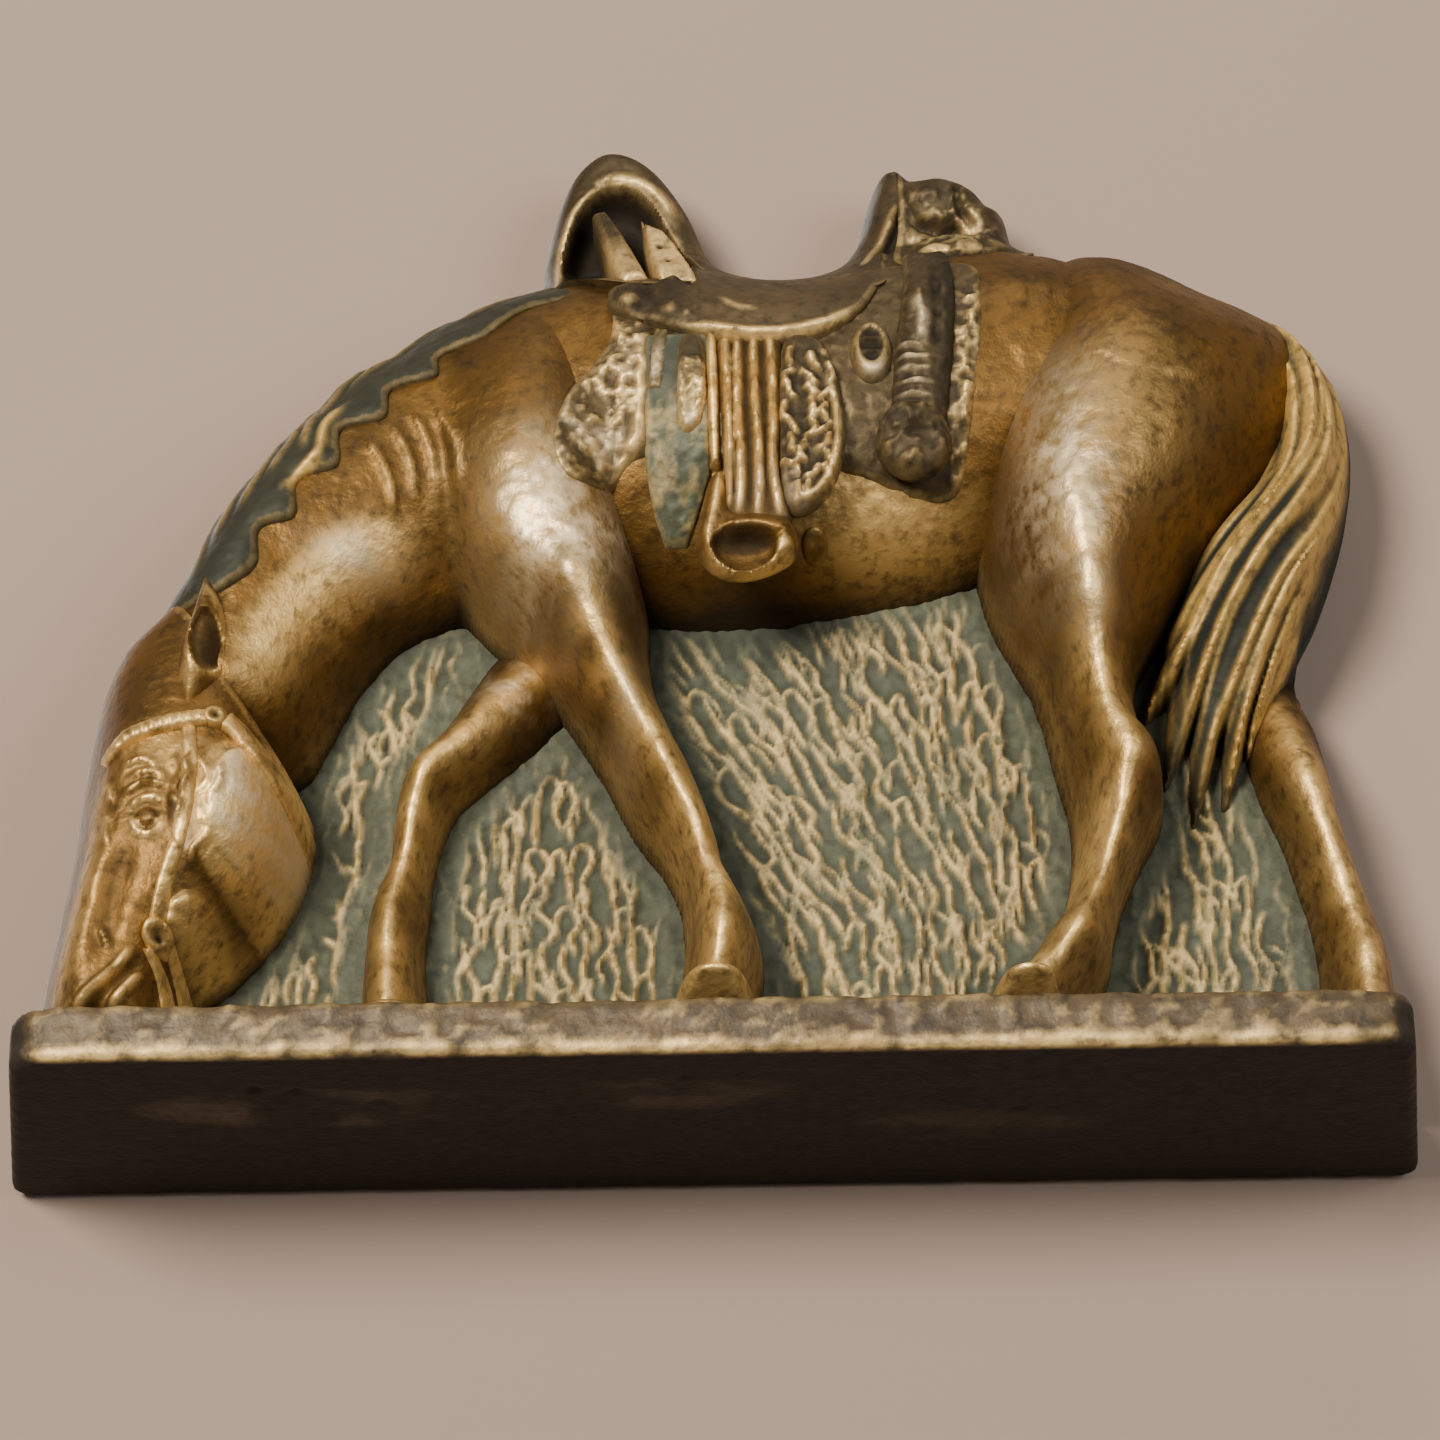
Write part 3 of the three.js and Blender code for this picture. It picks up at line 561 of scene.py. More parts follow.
masses = {
    "barrel": ([[-20, 84, 21, 24], [0, 82.5, 22.8, 26], [18, 84.3, 22.2, 26], [34, 87.5, 20, 26]], 2.2),
    "haunch": ([[49, 88, 20, 27], [44.5, 77, 16.5, 31], [41, 65, 11.5, 31], [40.3, 56, 7, 29]], 2.2),
    "nearHind": ([[40.3, 57, 7, 29], [40.8, 49, 5.2, 27], [41.8, 43, 5, 27], [43.3, 38.5, 5.4, 28],
                  [42.2, 33, 4, 26.5], [40.6, 27.5, 3.2, 25.5], [39.2, 23, 3.3, 26], [37.6, 19.5, 4.2, 27.5],
                  [35, 15.5, 4.2, 28.5], [32.6, 12.5, 4.3, 30]], 2),
    "nearHindHoof": ([[32, 12.5, 4.4, 30.5], [31.6, 9.5, 5, 31.5], [31.5, 4, 5.6, 32.5]], 3),
    "farHind": ([[60.4, 52, 6, 9], [61.8, 45, 5.2, 13.5], [63, 39.5, 4.5, 17], [64.4, 34, 3.8, 17],
                 [66.4, 26, 3.9, 16.5],
                 [67.6, 20, 4.3, 17.5], [67.6, 14, 4.4, 19]], 2),
    "farHindHoof": ([[67.4, 13, 4.6, 20], [67, 9, 5, 21], [67, 4, 5.4, 22]], 3),
    "tail": ([[58, 98, 6, 13], [65, 90, 6.5, 18], [66.8, 80, 5.8, 21], [64.4, 72, 6.4, 22],
              [59.8, 64, 8.3, 23],
              [56.4, 57, 8, 19], [55, 51.5, 6.5, 15.5]], 2),
    "shoulder": ([[-17, 92, 11, 20], [-19.5, 80, 13, 27], [-18, 69, 11.5, 29.5], [-13.5, 59, 7.6, 29]], 2.2),
    "nearFore": ([[-13.6, 59, 7.4, 29], [-10.6, 51, 5.3, 27], [-7.6, 44.5, 4.5, 26.5], [-4.6, 38, 4.3, 27],
                  [-2.2, 33, 3.4, 26.5], [-0.6, 28, 2.9, 26], [0.9, 23, 4, 27.5], [1.2, 20, 4.5, 28.5],
                  [0.7, 15.5, 4, 29], [0.4, 12.5, 4.4, 30]], 2),
    "nearForeHoof": ([[0.4, 13.5, 4.6, 30], [0.1, 10.5, 5.4, 31.5], [0, 4, 6.2, 32.5]], 3),
    "farFore": ([[-15, 59.5, 8.6, 9], [-20.6, 52, 6.6, 13.5], [-26, 45.3, 4.4, 17.5],
                 [-29.6, 41.3, 3.9, 18.5],
                 [-31, 37, 3.2, 18.5], [-31.8, 32, 2.8, 17.5], [-33, 27, 3.6, 18], [-33.4, 22, 3.6, 19],
                 [-33.3, 15.5, 4, 20.5], [-33.2, 12.5, 4.2, 21]], 2),
    "farForeHoof": ([[-33.2, 13.5, 4.5, 21.5], [-33, 10, 5.2, 22.5], [-33, 4, 5.8, 23.5]], 3),
    "neck": ([[-20, 83, 20, 24], [-32, 77, 17, 24.5], [-41, 69, 13.6, 25.5], [-48, 60, 12.8, 26],
              [-51, 50, 10.8, 27]], 2.2),
    "head": ([[-52.5, 59, 9.8, 22], [-54.6, 51, 11, 26], [-54.8, 38, 13, 29.5], [-56.2, 31, 12.4, 29.5],
              [-60.4, 22.5, 9.4, 28.5],
              [-62, 15.5, 8.6, 28], [-62.4, 3, 9, 28]], 2.8),
}


def mass(name, x, z):
    line, flat = masses[name]
    return ridge(x, z, line, flat, 10)


def castSkin(x, z, amount=0.06):
    return amount * (rough(x, z, 1.5, 5) + 2.2 * grain(x, z, 4.2, 6))


# Shoulder, neck and near foreleg, in one sweep.
def foreBodyHeight(x, z):
    height = smoothMax(mass("neck", x, z), mass("shoulder", x, z), 5)
    height = smoothMax(height, mass("nearFore", x, z), 4)
    folds = strokes(x, z, [[[-34, 79], [-31.5, 74], [-31, 69]], [[-31.5, 80], [-29.3, 75], [-28.6, 69]],
                           [[-29, 80.5], [-27, 76], [-26.2, 70]], [[-36.5, 77], [-33.8, 72], [-33.2, 68]]],
                           0.55)
    throat = strokes(x, z, [[[-38, 57], [-40.6, 51.5], [-42.4, 46], [-43.2, 42]],
                            [[-34.8, 60.4], [-38.6, 56.8]]], 0.8)
    muscle = stroke(x, z, [[-30, 92], [-40, 82], [-47, 70], [-51, 58]], 3.4) * 0.7
    arm = stroke(x, z, [[-24, 68], [-20, 62], [-14.5, 57], [-11, 50]], 2.2) * 0.9
    gap = stroke(x, z, [[-27.5, 71], [-26, 64.5], [-21.5, 59], [-16.5, 55]], 1.3)
    knee = spot(x, z, -4.6, 38.6, 2.2, 2.6) * 0.6 + spot(x, z, 1.4, 18.6, 2.6, 3) * 1.3
    tendon = stroke(x, z, [[-1, 33.5], [1.2, 27], [2.4, 22.6]], 0.5) * 0.5 - stroke(
        x, z, [[-2.4, 33], [-0.4, 27.5], [0.9, 23.5]], 0.45) * 0.4
    worn = spot(x, z, -15.5, 66, 6.5, 9, 0.8)
    height = roundedOff(x, z, height + muscle + arm, 0.8 * (z > 56))
    height = height + 0.45 * folds + 0.7 * throat - 1.1 * gap + knee + tendon
    return height + castSkin(x, z, 0.07) + 0.16 * worn * rough(x, z, 1.1, 31)


def foreBodyPaint(x, z, height):
    # Along the foreleg's crest: rubbed bright and painted highlight.
    limbRubAndHighlight = stroke(x, z, [[-13, 58], [-10.8, 51], [-7.6, 44.5], [-4.8, 38], [-2.2, 33], [-0.6, 28], [1, 21],
                         [0.8, 13]], 2.6,
                  taper=False)
    glow = np.maximum(limbRubAndHighlight * (0.6 + 0.3 * rough(x, z, 3, 32)),
                      stroke(x, z, [[-31, 66], [-36.5, 63.5], [-41, 59.5], [-45, 54], [-47, 48]], 2.8) * 0.95)
    # On the shoulder: rubbed bright and a broad painted highlight.
    glow = np.maximum(glow, spot(x, z, -20, 66, 9, 9) * 0.55)
    low = np.clip((15 - height) / 9, 0, 1)
    # Darker towards the top of the neck and back: patina and painted shade.
    topPatinaAndShade = np.clip((z - 84 + 0.35 * (x + 30)) / 16, 0, 1) * 0.45
    silver = spot(x, z, -15.2, 64.8, 5.6, 7.4, 0.8) * (1.1 + 0.6 * rough(x, z, 2.4, 33)) + spot(x, z, -8.4,
            44.5, 1.4, 5) * 0.4
    silver = silver + spot(x, z, -37.4, 63.4, 3.4, 2) * 0.7
    return glow, np.maximum(low, topPatinaAndShade), silver


lowerLid = [[-59, 31.1], [-58.3, 29.6], [-57.2, 29], [-56.1, 29.6], [-55.7, 31.2]]
upperLid = [[-59, 32], [-57.6, 32.9], [-56, 32.7]]
nostrilRim = [[-58.6, 17.4], [-60, 15.2], [-62.4, 12.8], [-64, 11]]
lipFold = [[-57.8, 15], [-59, 13.2], [-60.4, 11]]


def headHeight(x, z):
    height = mass("head", x, z)
    jowl = dome(x, z, -46.6, 33, 4.7, 6.8, 5) * 0.9 + dome(x, z, -48, 32, 7.2, 8, 3) * 0.8
    forehead = stroke(x, z, [[-60.5, 40], [-62.4, 33], [-62.6, 27], [-64.2, 20], [-65.8, 12]], 1.7) * 0.8
    hollow = stroke(x, z, [[-59.4, 28], [-60.6, 22], [-61.4, 17]], 1.4) * 0.8
    socket = spot(x, z, -57.3, 31.2, 2.2, 2.0) * 0.55
    eyeball = dome(x, z, -57.3, 30.9, 1.15, 1.0) * 0.75
    lids = strokes(x, z, [lowerLid,
                          upperLid, [[-59.6, 33.6], [-57.8, 34.6], [-55.6, 34.2]]], 0.32)
    tufts = strokes(x, z, [[[-60, 36.6], [-58, 37.2], [-56.2, 36.2]], [[-59, 35.4], [-57, 35.9],
            [-55.4, 34.8]],
                           [[-54.4, 37.6], [-53.2, 35.4], [-53.8, 33.2]], [[-52.4, 37.4], [-51.2, 35.4],
                                   [-51.6, 33.4]],
                           [[-54.8, 33], [-53.9, 31.6], [-54.4, 30.4]], [[-50.2, 36.8], [-49.8, 34.8],
                                   [-50.6, 33]],
                           [[-61.8, 35.2], [-61.2, 33]], [[-61.5, 31.8], [-61.6, 29.6], [-61.2, 28.2]],
                           [[-51.6, 31.4], [-51, 29.4], [-52.4, 27.6], [-52.8, 26]]], 0.36)
    nostril = strokes(x, z, [nostrilRim, lipFold,
                             [[-61.6, 19.4], [-60.8, 17.2]]], 0.42)
    mouth = stroke(x, z, [[-57.6, 16.6], [-59.3, 14.2], [-61.4, 11.8], [-63, 9.6]], 0.42)
    chin = dome(x, z, -52.6, 20.4, 2.8, 3.4, 3) * 1.4
    height = roundedOff(x, z, height,
                        0.8 * (z > 50)) + jowl + forehead - hollow - socket + eyeball + 0.7 * lids
    height = height + 0.6 * tufts + 0.9 * nostril - 0.5 * mouth + chin
    rumpled = spot(x, z, -54.5, 33.5, 5, 5) * 0.14 + spot(x, z, -52.4, 20, 3.6, 3.6) * 0.3
    return height + castSkin(x, z, 0.06) + rumpled * rough(x, z, 0.9, 12)


def headPaint(x, z, height):
    ridges = stroke(x, z, [[-62, 38], [-63.2, 28], [-65, 18], [-66.6, 10]], 1.3) * 0.55
    ridges = np.maximum(ridges, strokes(x, z, [nostrilRim,
                                               lipFold,
                                               lowerLid,
                                               upperLid], 0.45))
    jowl = dome(x, z, -46.6, 33, 4.6, 6.6, 5)
    glow = np.maximum(ridges, dome(x, z, -46.4, 32, 6.6, 9.4, 2.5))
    glow = np.maximum(glow, spot(x, z, -52.6, 20.4, 3, 3.2) * 0.9 + spot(x, z, -56, 38, 6, 4) * 0.35)
    dirt = stroke(x, z, [[-59.4, 29], [-60.4, 22], [-61.2, 17]], 1.2) * 0.35 + np.clip((13 - height) / 8, 0,
            1)
    silver = jowl * np.clip(0.75 + 0.5 * rough(x, z, 1.8, 14), 0, 1) + spot(x, z, -53.5, 30, 0.9, 2) * 0.6
    return glow, dirt, silver


def haunchHeight(x, z):
    height = smoothMax(mass("haunch", x, z), mass("nearHind", x, z), 4)
    thigh = stroke(x, z, [[36.6, 70], [38.6, 62.6], [39.6, 56], [40.4, 49]], 2.2) * 0.9
    flank = stroke(x, z, [[34, 88], [32.5, 78], [32, 70], [34, 62]], 2.0) * 0.6
    hip = dome(x, z, 50, 90, 11, 10) * 0.8
    gaskin = stroke(x, z, [[44.6, 56], [44.6, 49], [46, 43], [47.6, 39.6]], 1.0) * 0.8
    groove = stroke(x, z, [[42.8, 54], [42.6, 48], [43.6, 43]], 0.9) * 0.7
    hock = spot(x, z, 46, 38.6, 1.9, 2.6) * 0.9
    tendon = stroke(x, z, [[43.4, 34], [41.8, 28.5], [41, 24]], 0.5) * 0.5 - stroke(
        x, z, [[41.9, 34.5], [40.2, 28.5], [39.3, 24]], 0.45) * 0.5
    fetlock = spot(x, z, 37.4, 18.4, 2.6, 2.8) * 1.2 + dome(x, z, 39.7, 17.6, 1.3, 2, 3) * 0.7
    worn = spot(x, z, 37.6, 66, 4, 8, 0.8) + spot(x, z, 38, 84, 7, 7) * 0.5
    height = roundedOff(x, z, height + thigh + flank + hip) + gaskin - groove + hock + tendon + fetlock
    return height + castSkin(x, z, 0.07) + 0.13 * worn * rough(x, z, 1.0, 44)


def haunchPaint(x, z, height):
    # Along the hind leg's crest: rubbed bright and painted highlight.
    limbRubAndHighlight = stroke(x, z, [[37, 70], [38.8, 62], [39.8, 54], [40.6, 47], [42.4, 40], [41.8, 33], [39.8, 26],
                         [37.8, 19.5],
                         [34, 14]], 2.6, taper=False)
    # On the haunch: rubbed bright and a broad painted highlight.
    glow = np.maximum(limbRubAndHighlight * (0.6 + 0.3 * rough(x, z, 3, 45)), spot(x, z, 43, 76, 11, 12) * 0.3)
    low = np.clip((15 - height) / 9, 0, 1)
    # Darker towards the top of the croup: patina and painted shade.
    topPatinaAndShade = np.clip((z - 88) / 18, 0, 1) * 0.5 + spot(x, z, 46, 99, 5, 4) * 0.25
    silver = spot(x, z, 37.2, 66.5, 3.4, 7, 0.9) * (1.1 + 0.6 * rough(x, z, 2.4, 46)) + spot(x, z, 40, 55,
            2.4, 4) * 0.4 + spot(x, z, 37, 80, 5, 6) * 0.3
    return glow, np.maximum(low, topPatinaAndShade), silver


def barrelHeight(x, z):
    height = mass("barrel", x, z)
    hammered = spot(x, z, 21, 68.6, 8, 5, 0.8) * 0.22
    return roundedOff(x, z, height, 0.6) + castSkin(x, z, 0.07) + hammered * rough(x, z, 1.3, 21)


def barrelPaint(x, z, height):
    glow = spot(x, z, 19, 69, 9, 4.2, 0.8) * 0.85 + spot(x, z, -1, 70, 6, 6) * 0.25
    # The second term darkens the top of the back: patina and painted shade.
    dirt = np.clip((14 - height) / 7, 0, 1) * (z < 74) + np.clip((z - 94) / 4, 0, 0.4)
    return glow, dirt, x * 0


def tailStrands(x, z):
    paths = [[[60, 99], [64.6, 92], [66.2, 84], [64.8, 75.8], [60, 68.4], [54.6, 61.4], [50.4, 54],
              [49.4, 46]],
             [[61, 87], [62.3, 82.4], [62, 78.3], [60.4, 74.3], [57, 69.6], [52.6, 64.4], [49.4, 59]],
             [[62, 93], [64, 86], [63.9, 80], [62.4, 74], [58.6, 67.8], [53.6, 62], [49.4, 56.4],
              [47.6, 50.6]],
             [[66.6, 90], [68.4, 83], [67.4, 76], [63.6, 69], [58.6, 62.4], [54.4, 55.6], [51.8, 48.5],
              [50.2, 41.5]],
             [[69.4, 88], [70.4, 81], [69.2, 74], [65.6, 66.6], [60.6, 59.6], [57, 52.6], [54.2, 46],
              [52.6, 38.5]],
             [[70.6, 78], [68.4, 70.6], [64.4, 63.4], [60.6, 56.4], [57.8, 49], [56.2, 43], [55.4, 39.4]],
             [[66.6, 64], [63.4, 58.6], [60.4, 52], [58, 46.6], [56.6, 42]],
             [[63.4, 57], [60.6, 50.4], [58.4, 46]], [[51, 60], [48.4, 55], [47.4, 50], [48, 45]]]
    fine = [[[a[0] + 1.25, a[1] + 0.3] for a in path] for path in paths]
    return strokes(x, z, paths, 0.62), strokes(x, z, fine, 0.34)


# The tail ends in separate tapering strands.
tailTips = [[[57, 60, 3.4, 20], [51, 54.5, 2.3, 15.5], [47.2, 49.2, 0.7, 10]],
            [[57, 60, 3.4, 20], [51.6, 50, 2.2, 15], [48.8, 41, 0.7, 9.5]],
            [[58, 58, 3.4, 20], [54, 49, 2.4, 15], [51.6, 36.6, 0.7, 9]],
            [[60, 58, 3.2, 19], [57, 49, 2.1, 14.5], [55.2, 39, 0.7, 9.5]],
            [[61, 58, 2.6, 18], [59.4, 51, 1.8, 13], [58, 44.6, 0.7, 10]]]


def tailHeight(x, z):
    main, fine = tailStrands(x, z)
    height = mass("tail", x, z)
    for tip in tailTips:
        height = smoothMax(height, ridge(x, z, tip, 2, 10), 0.8)
    return roundedOff(x, z, height) + 1.7 * main + 0.7 * fine - 0.5 + castSkin(x, z, 0.05)


def tailPaint(x, z, height):
    main, fine = tailStrands(x, z)
    glow = main + 0.5 * fine + 0.5 * np.clip((x - 61 - (z - 60) * 0.12) / 4, 0, 1)
    valley = np.clip(0.85 - main - 0.6 * fine, 0, 1) * 0.6 * (1 - np.clip((x - 62) / 4, 0, 1))
    return glow, np.maximum(valley * 1.25, np.clip((12 - height) / 6, 0, 1)), x * 0


maneEdge = loopThrough([[-12.6, 97.6], [-19, 94.4], [-23.6, 90], [-28.6, 87.8], [-29, 84.4], [-33.8, 83],
                        [-34.4, 79],
                        [-39, 77.8], [-39.2, 73], [-43.4, 71.2], [-43.6, 66.6], [-47.2, 65], [-47.6, 60.4],
                        [-53, 57],
                        [-62, 57], [-65, 70], [-54, 92], [-34, 108], [-12, 108]])


# The mane lies on the crest of the neck as a thin layer with ragged lock ends.
def maneHeight(x, z):
    away = np.clip(nearestOn(x, z, maneEdge)[0] / 1.6, 0, 1)
    return foreBodyHeight(x, z) + 0.3 + 0.9 * np.sqrt(away) + 0.9 * maneLocks(x, z) * away + castSkin(x, z,
            0.07)


def maneLocks(x, z):
    paths = [[[-20, 101.5], [-28, 97], [-34, 91], [-38.6, 85]], [[-28, 99], [-35, 93], [-40, 86], [-42, 80]],
             [[-36, 93.5], [-40.8, 87], [-42.6, 81], [-43, 75]], [[-40.6, 90], [-43.4, 84], [-44.8, 78],
                     [-47, 72]],
             [[-43.6, 87], [-46.6, 80], [-48, 74], [-49.6, 68]], [[-46.6, 84], [-49.6, 77], [-51, 71],
                     [-52.4, 65]],
             [[-49.8, 79.6], [-52.6, 73], [-53.8, 67], [-54.4, 61]], [[-52.6, 75.6], [-54.8, 69.6],
                     [-55.8, 63.6]],
             [[-14, 102.4], [-21, 99], [-27, 94.4]], [[-38.6, 82], [-40.8, 78], [-41.4, 74], [-44.6, 70]]]
    return strokes(x, z, paths, 0.75)


def manePaint(x, z, height):
    locks = maneLocks(x, z)
    inner = np.clip(1.3 - nearestOn(x, z, maneEdge)[0] / 2.4, 0, 1)
    return locks * (0.35 + 0.5 * inner), np.clip(0.8 - locks, 0, 1) * 0.6, x * 0


earRim = [[-52.4, 47], [-50.4, 48.6], [-50, 52], [-51, 55.4], [-52.2, 57.6]]


def earHeight(x, z):
    shell = ridge(x, z, [[-54, 43.4, 2.8, 28], [-52.8, 49, 4.4, 31], [-52.2, 55, 3.3, 30], [-53, 62, 1, 24]],
                  2, 10)
    hollow = dome(x, z, -52, 50.6, 1.6, 3.4, 3) * 2.0
    rim = stroke(x, z, [[-53.4, 46.8], [-54.2, 50.4], [-53, 54.6], [-52.4, 57.6]], 0.45) + stroke(
        x, z, earRim, 0.45)
    return shell - hollow + 0.5 * rim + castSkin(x, z, 0.05)


def earPaint(x, z, height):
    hollow = dome(x, z, -52, 50.6, 1.6, 3.4, 3)
    rim = stroke(x, z, earRim, 0.6)
    return rim * 0.9 + spot(x, z, -54, 47, 1.8) * 0.6, hollow * 0.8 + np.clip((z - 56) / 5, 0, 0.5), x * 0


def legHeight(name, marks):
    def heightOf(x, z):
        height = mass(name, x, z)
        for cx, cz, rx, rz, lift in marks:
            height = height + spot(x, z, cx, cz, rx, rz) * lift
        return roundedOff(x, z, height) + castSkin(x, z, 0.06)
    return heightOf


def legPaint(name, darkerBelow=12):
    path = [p[:2] for p in masses[name][0]]

    def paint(x, z, height):
        # Along the leg's crest: rubbed bright and painted highlight.
        glow = stroke(x, z, path, 2.2, taper=False) * (0.65 + 0.3 * rough(x, z, 2.6, 34))
        pale = spot(x, z, -21, 52, 3, 3) * np.clip(0.6 + rough(x, z, 1.5, 35), 0, 1.2)
        return glow, np.clip((darkerBelow - height) / 5, 0, 1) * (1 - pale), pale
    return paint


def hoofHeight(name, coronet):
    def heightOf(x, z):
        height = mass(name, x, z)
        band = np.exp(-((z - coronet) / 0.5) ** 2) * 0.5
        return roundedOff(x, z, height) + band + castSkin(x, z, 0.07)
    return heightOf


def hoofPaint(x, z, height):
    return np.clip((height - 20) / 14, 0, 0.45), np.clip((9 - z) / 5, 0, 0.6) + np.clip((14 - height) / 6, 0,
            0.5), x * 0


def horsePiece(name, nodes, box, heightOf, finish, paint, cell=0.35, within=None):
    def kept(x, z):
        shown = inside(x, z, silhouette)
        shown[shown] = heightOf(x[shown], z[shown]) > 6.2
        if within is not None:
            shown &= inside(x, z, within)
        return shown
    rims = (silhouette,) if within is None else (silhouette, within)
    return reliefPiece(name, nodes, box, kept, heightOf, finish, paint, cell, rims=rims)


print("horse")
horsePiece("castForeBody", ["shoulder", "neck", "near_foreleg"], (-60, slabTop + 4, 8, 106), foreBodyHeight,
           hideBronze,
           foreBodyPaint)
headCut = runs([[-76, 0], [-76, 62], [-62, 62], [-55, 56.5], [-49.6, 46.8]], [[-46.4, 42.4], [-43, 38.4],
        [-39, 34]], [[-38, 20], [-46, 0]])
horsePiece("castHead", ["head"], (-73, slabTop - 0.2, -38, 61), headHeight, hideBronze, headPaint, 0.3,
           headCut)
horsePiece("castHaunch", ["haunch", "near_hind_leg"], (24, slabTop + 4, 73, 110), haunchHeight, hideBronze,
           haunchPaint)
horsePiece("castBarrel", ["barrel"], (-24, 57, 48, 108), barrelHeight, hideBronze, barrelPaint)
horsePiece("castTail", ["tail"], (44, 32, 74, 106), tailHeight, maneBronze, tailPaint, 0.3)
horsePiece("castMane", ["mane"], (-62, 56, -8, 106), maneHeight, maneBronze, manePaint, 0.3, maneEdge)
earOutline = loopThrough([[-57, 45.6], [-56.8, 51], [-55, 57], [-53.2, 62], [-50.8, 58], [-48.6, 53.4],
                          [-48.6, 47.6], [-52, 42.6]])
reliefPiece("castEar", ["near_ear"], (-58.4, 41, -46.6, 64), lambda x, z: inside(x, z, earOutline)
            & (earHeight(x, z) > 12),
            earHeight, hideBronze, earPaint, 0.22, rims=(), rear=12)
horsePiece("castFarForeleg", ["far_foreleg"], (-40, slabTop + 4, -12, 63),
           legHeight("farFore", [(-29.8, 40.6, 2.2, 2.2, 0.6), (-33.4, 24.6, 2.2, 2.6, 0.6)]), hideBronze,
           legPaint("farFore"), 0.3)
horsePiece("castFarHindLeg", ["far_hind_leg"], (54, slabTop + 4, 74, 55),
           legHeight("farHind", [(67.6, 19.6, 2, 2.4, 0.6)]), hideBronze, legPaint("farHind"), 0.3)
for name, node, box, coronet in (("nearForeHoof", "near_fore_hoof", (-8, 8), 13.4),
                                 ("nearHindHoof", "near_hind_hoof", (24, 39), 13),
                                 ("farForeHoof", "far_fore_hoof", (-40, -26), 13.2),
                                 ("farHindHoof", "far_hind_hoof", (60, 74), 12.8)):
    horsePiece("cast" + name[0].upper() + name[1:], [node], (box[0], slabTop - 0.2, box[1], coronet + 0.4),
               hoofHeight(name, coronet), hideBronze, hoofPaint, 0.3)


print("plate and slab")


def plateHeight(x, z):
    away = nearestOn(x, z, silhouette)[0]
    return 4.0 - 0.6 * np.clip(1 - away / 0.8, 0, 1) ** 2


reliefPiece("castBackPlate", ["backing_plate"], (-73, slabTop - 0.2, 74, 124), lambda x,
            z: inside(x, z, silhouette),
            plateHeight, groundBronze, lambda x, z, h: (x * 0, np.full(x.shape, 0.7), x * 0), cell=1.0,
            rear=0)

slabSizes = {"length": 148, "depth": 43, "height": slabTop, "taper": 6.5, "frontCorner": 5, "backCorner": 2,
             "edge": 0.9,
             "skinCell": 0.6, "deepestDent": 0.25}


def slabPaint(x, z, height):
    y = backY - height
    frontness = np.clip((-y - 20.2) / 1.0, 0, 1)
    lowEdge = spot(x * 0, z, 0, 0.5, 1, 0.8) * frontness
    hammer = np.clip(rough(x, z * 1.2, 1.6, 61), 0, 1) * frontness
    top = np.clip((z - slabTop + 1.0) / 0.8, 0, 1)
    glow = lowEdge * np.clip(0.75 + 0.6 * rough(x, z, 3.5, 63), 0, 1) + hammer * 0.3 + top * 0.15 * frontness
    patch = dome(x, y, -38, -6, 20, 6, 3) * 0.5 + dome(x, y, -4, -9, 13, 5, 3) * 0.35 + dome(x, y, 24, 2, 16,
            5, 3) * 0.25
    patch = patch * np.clip(0.4 + rough(x, y, 6, 64), 0, 1) * (z < 0.4)
    return glow, (1 - frontness) * np.clip(0.9 - patch * 1.5, 0, 1) * (z < slabTop - 1), x * 0


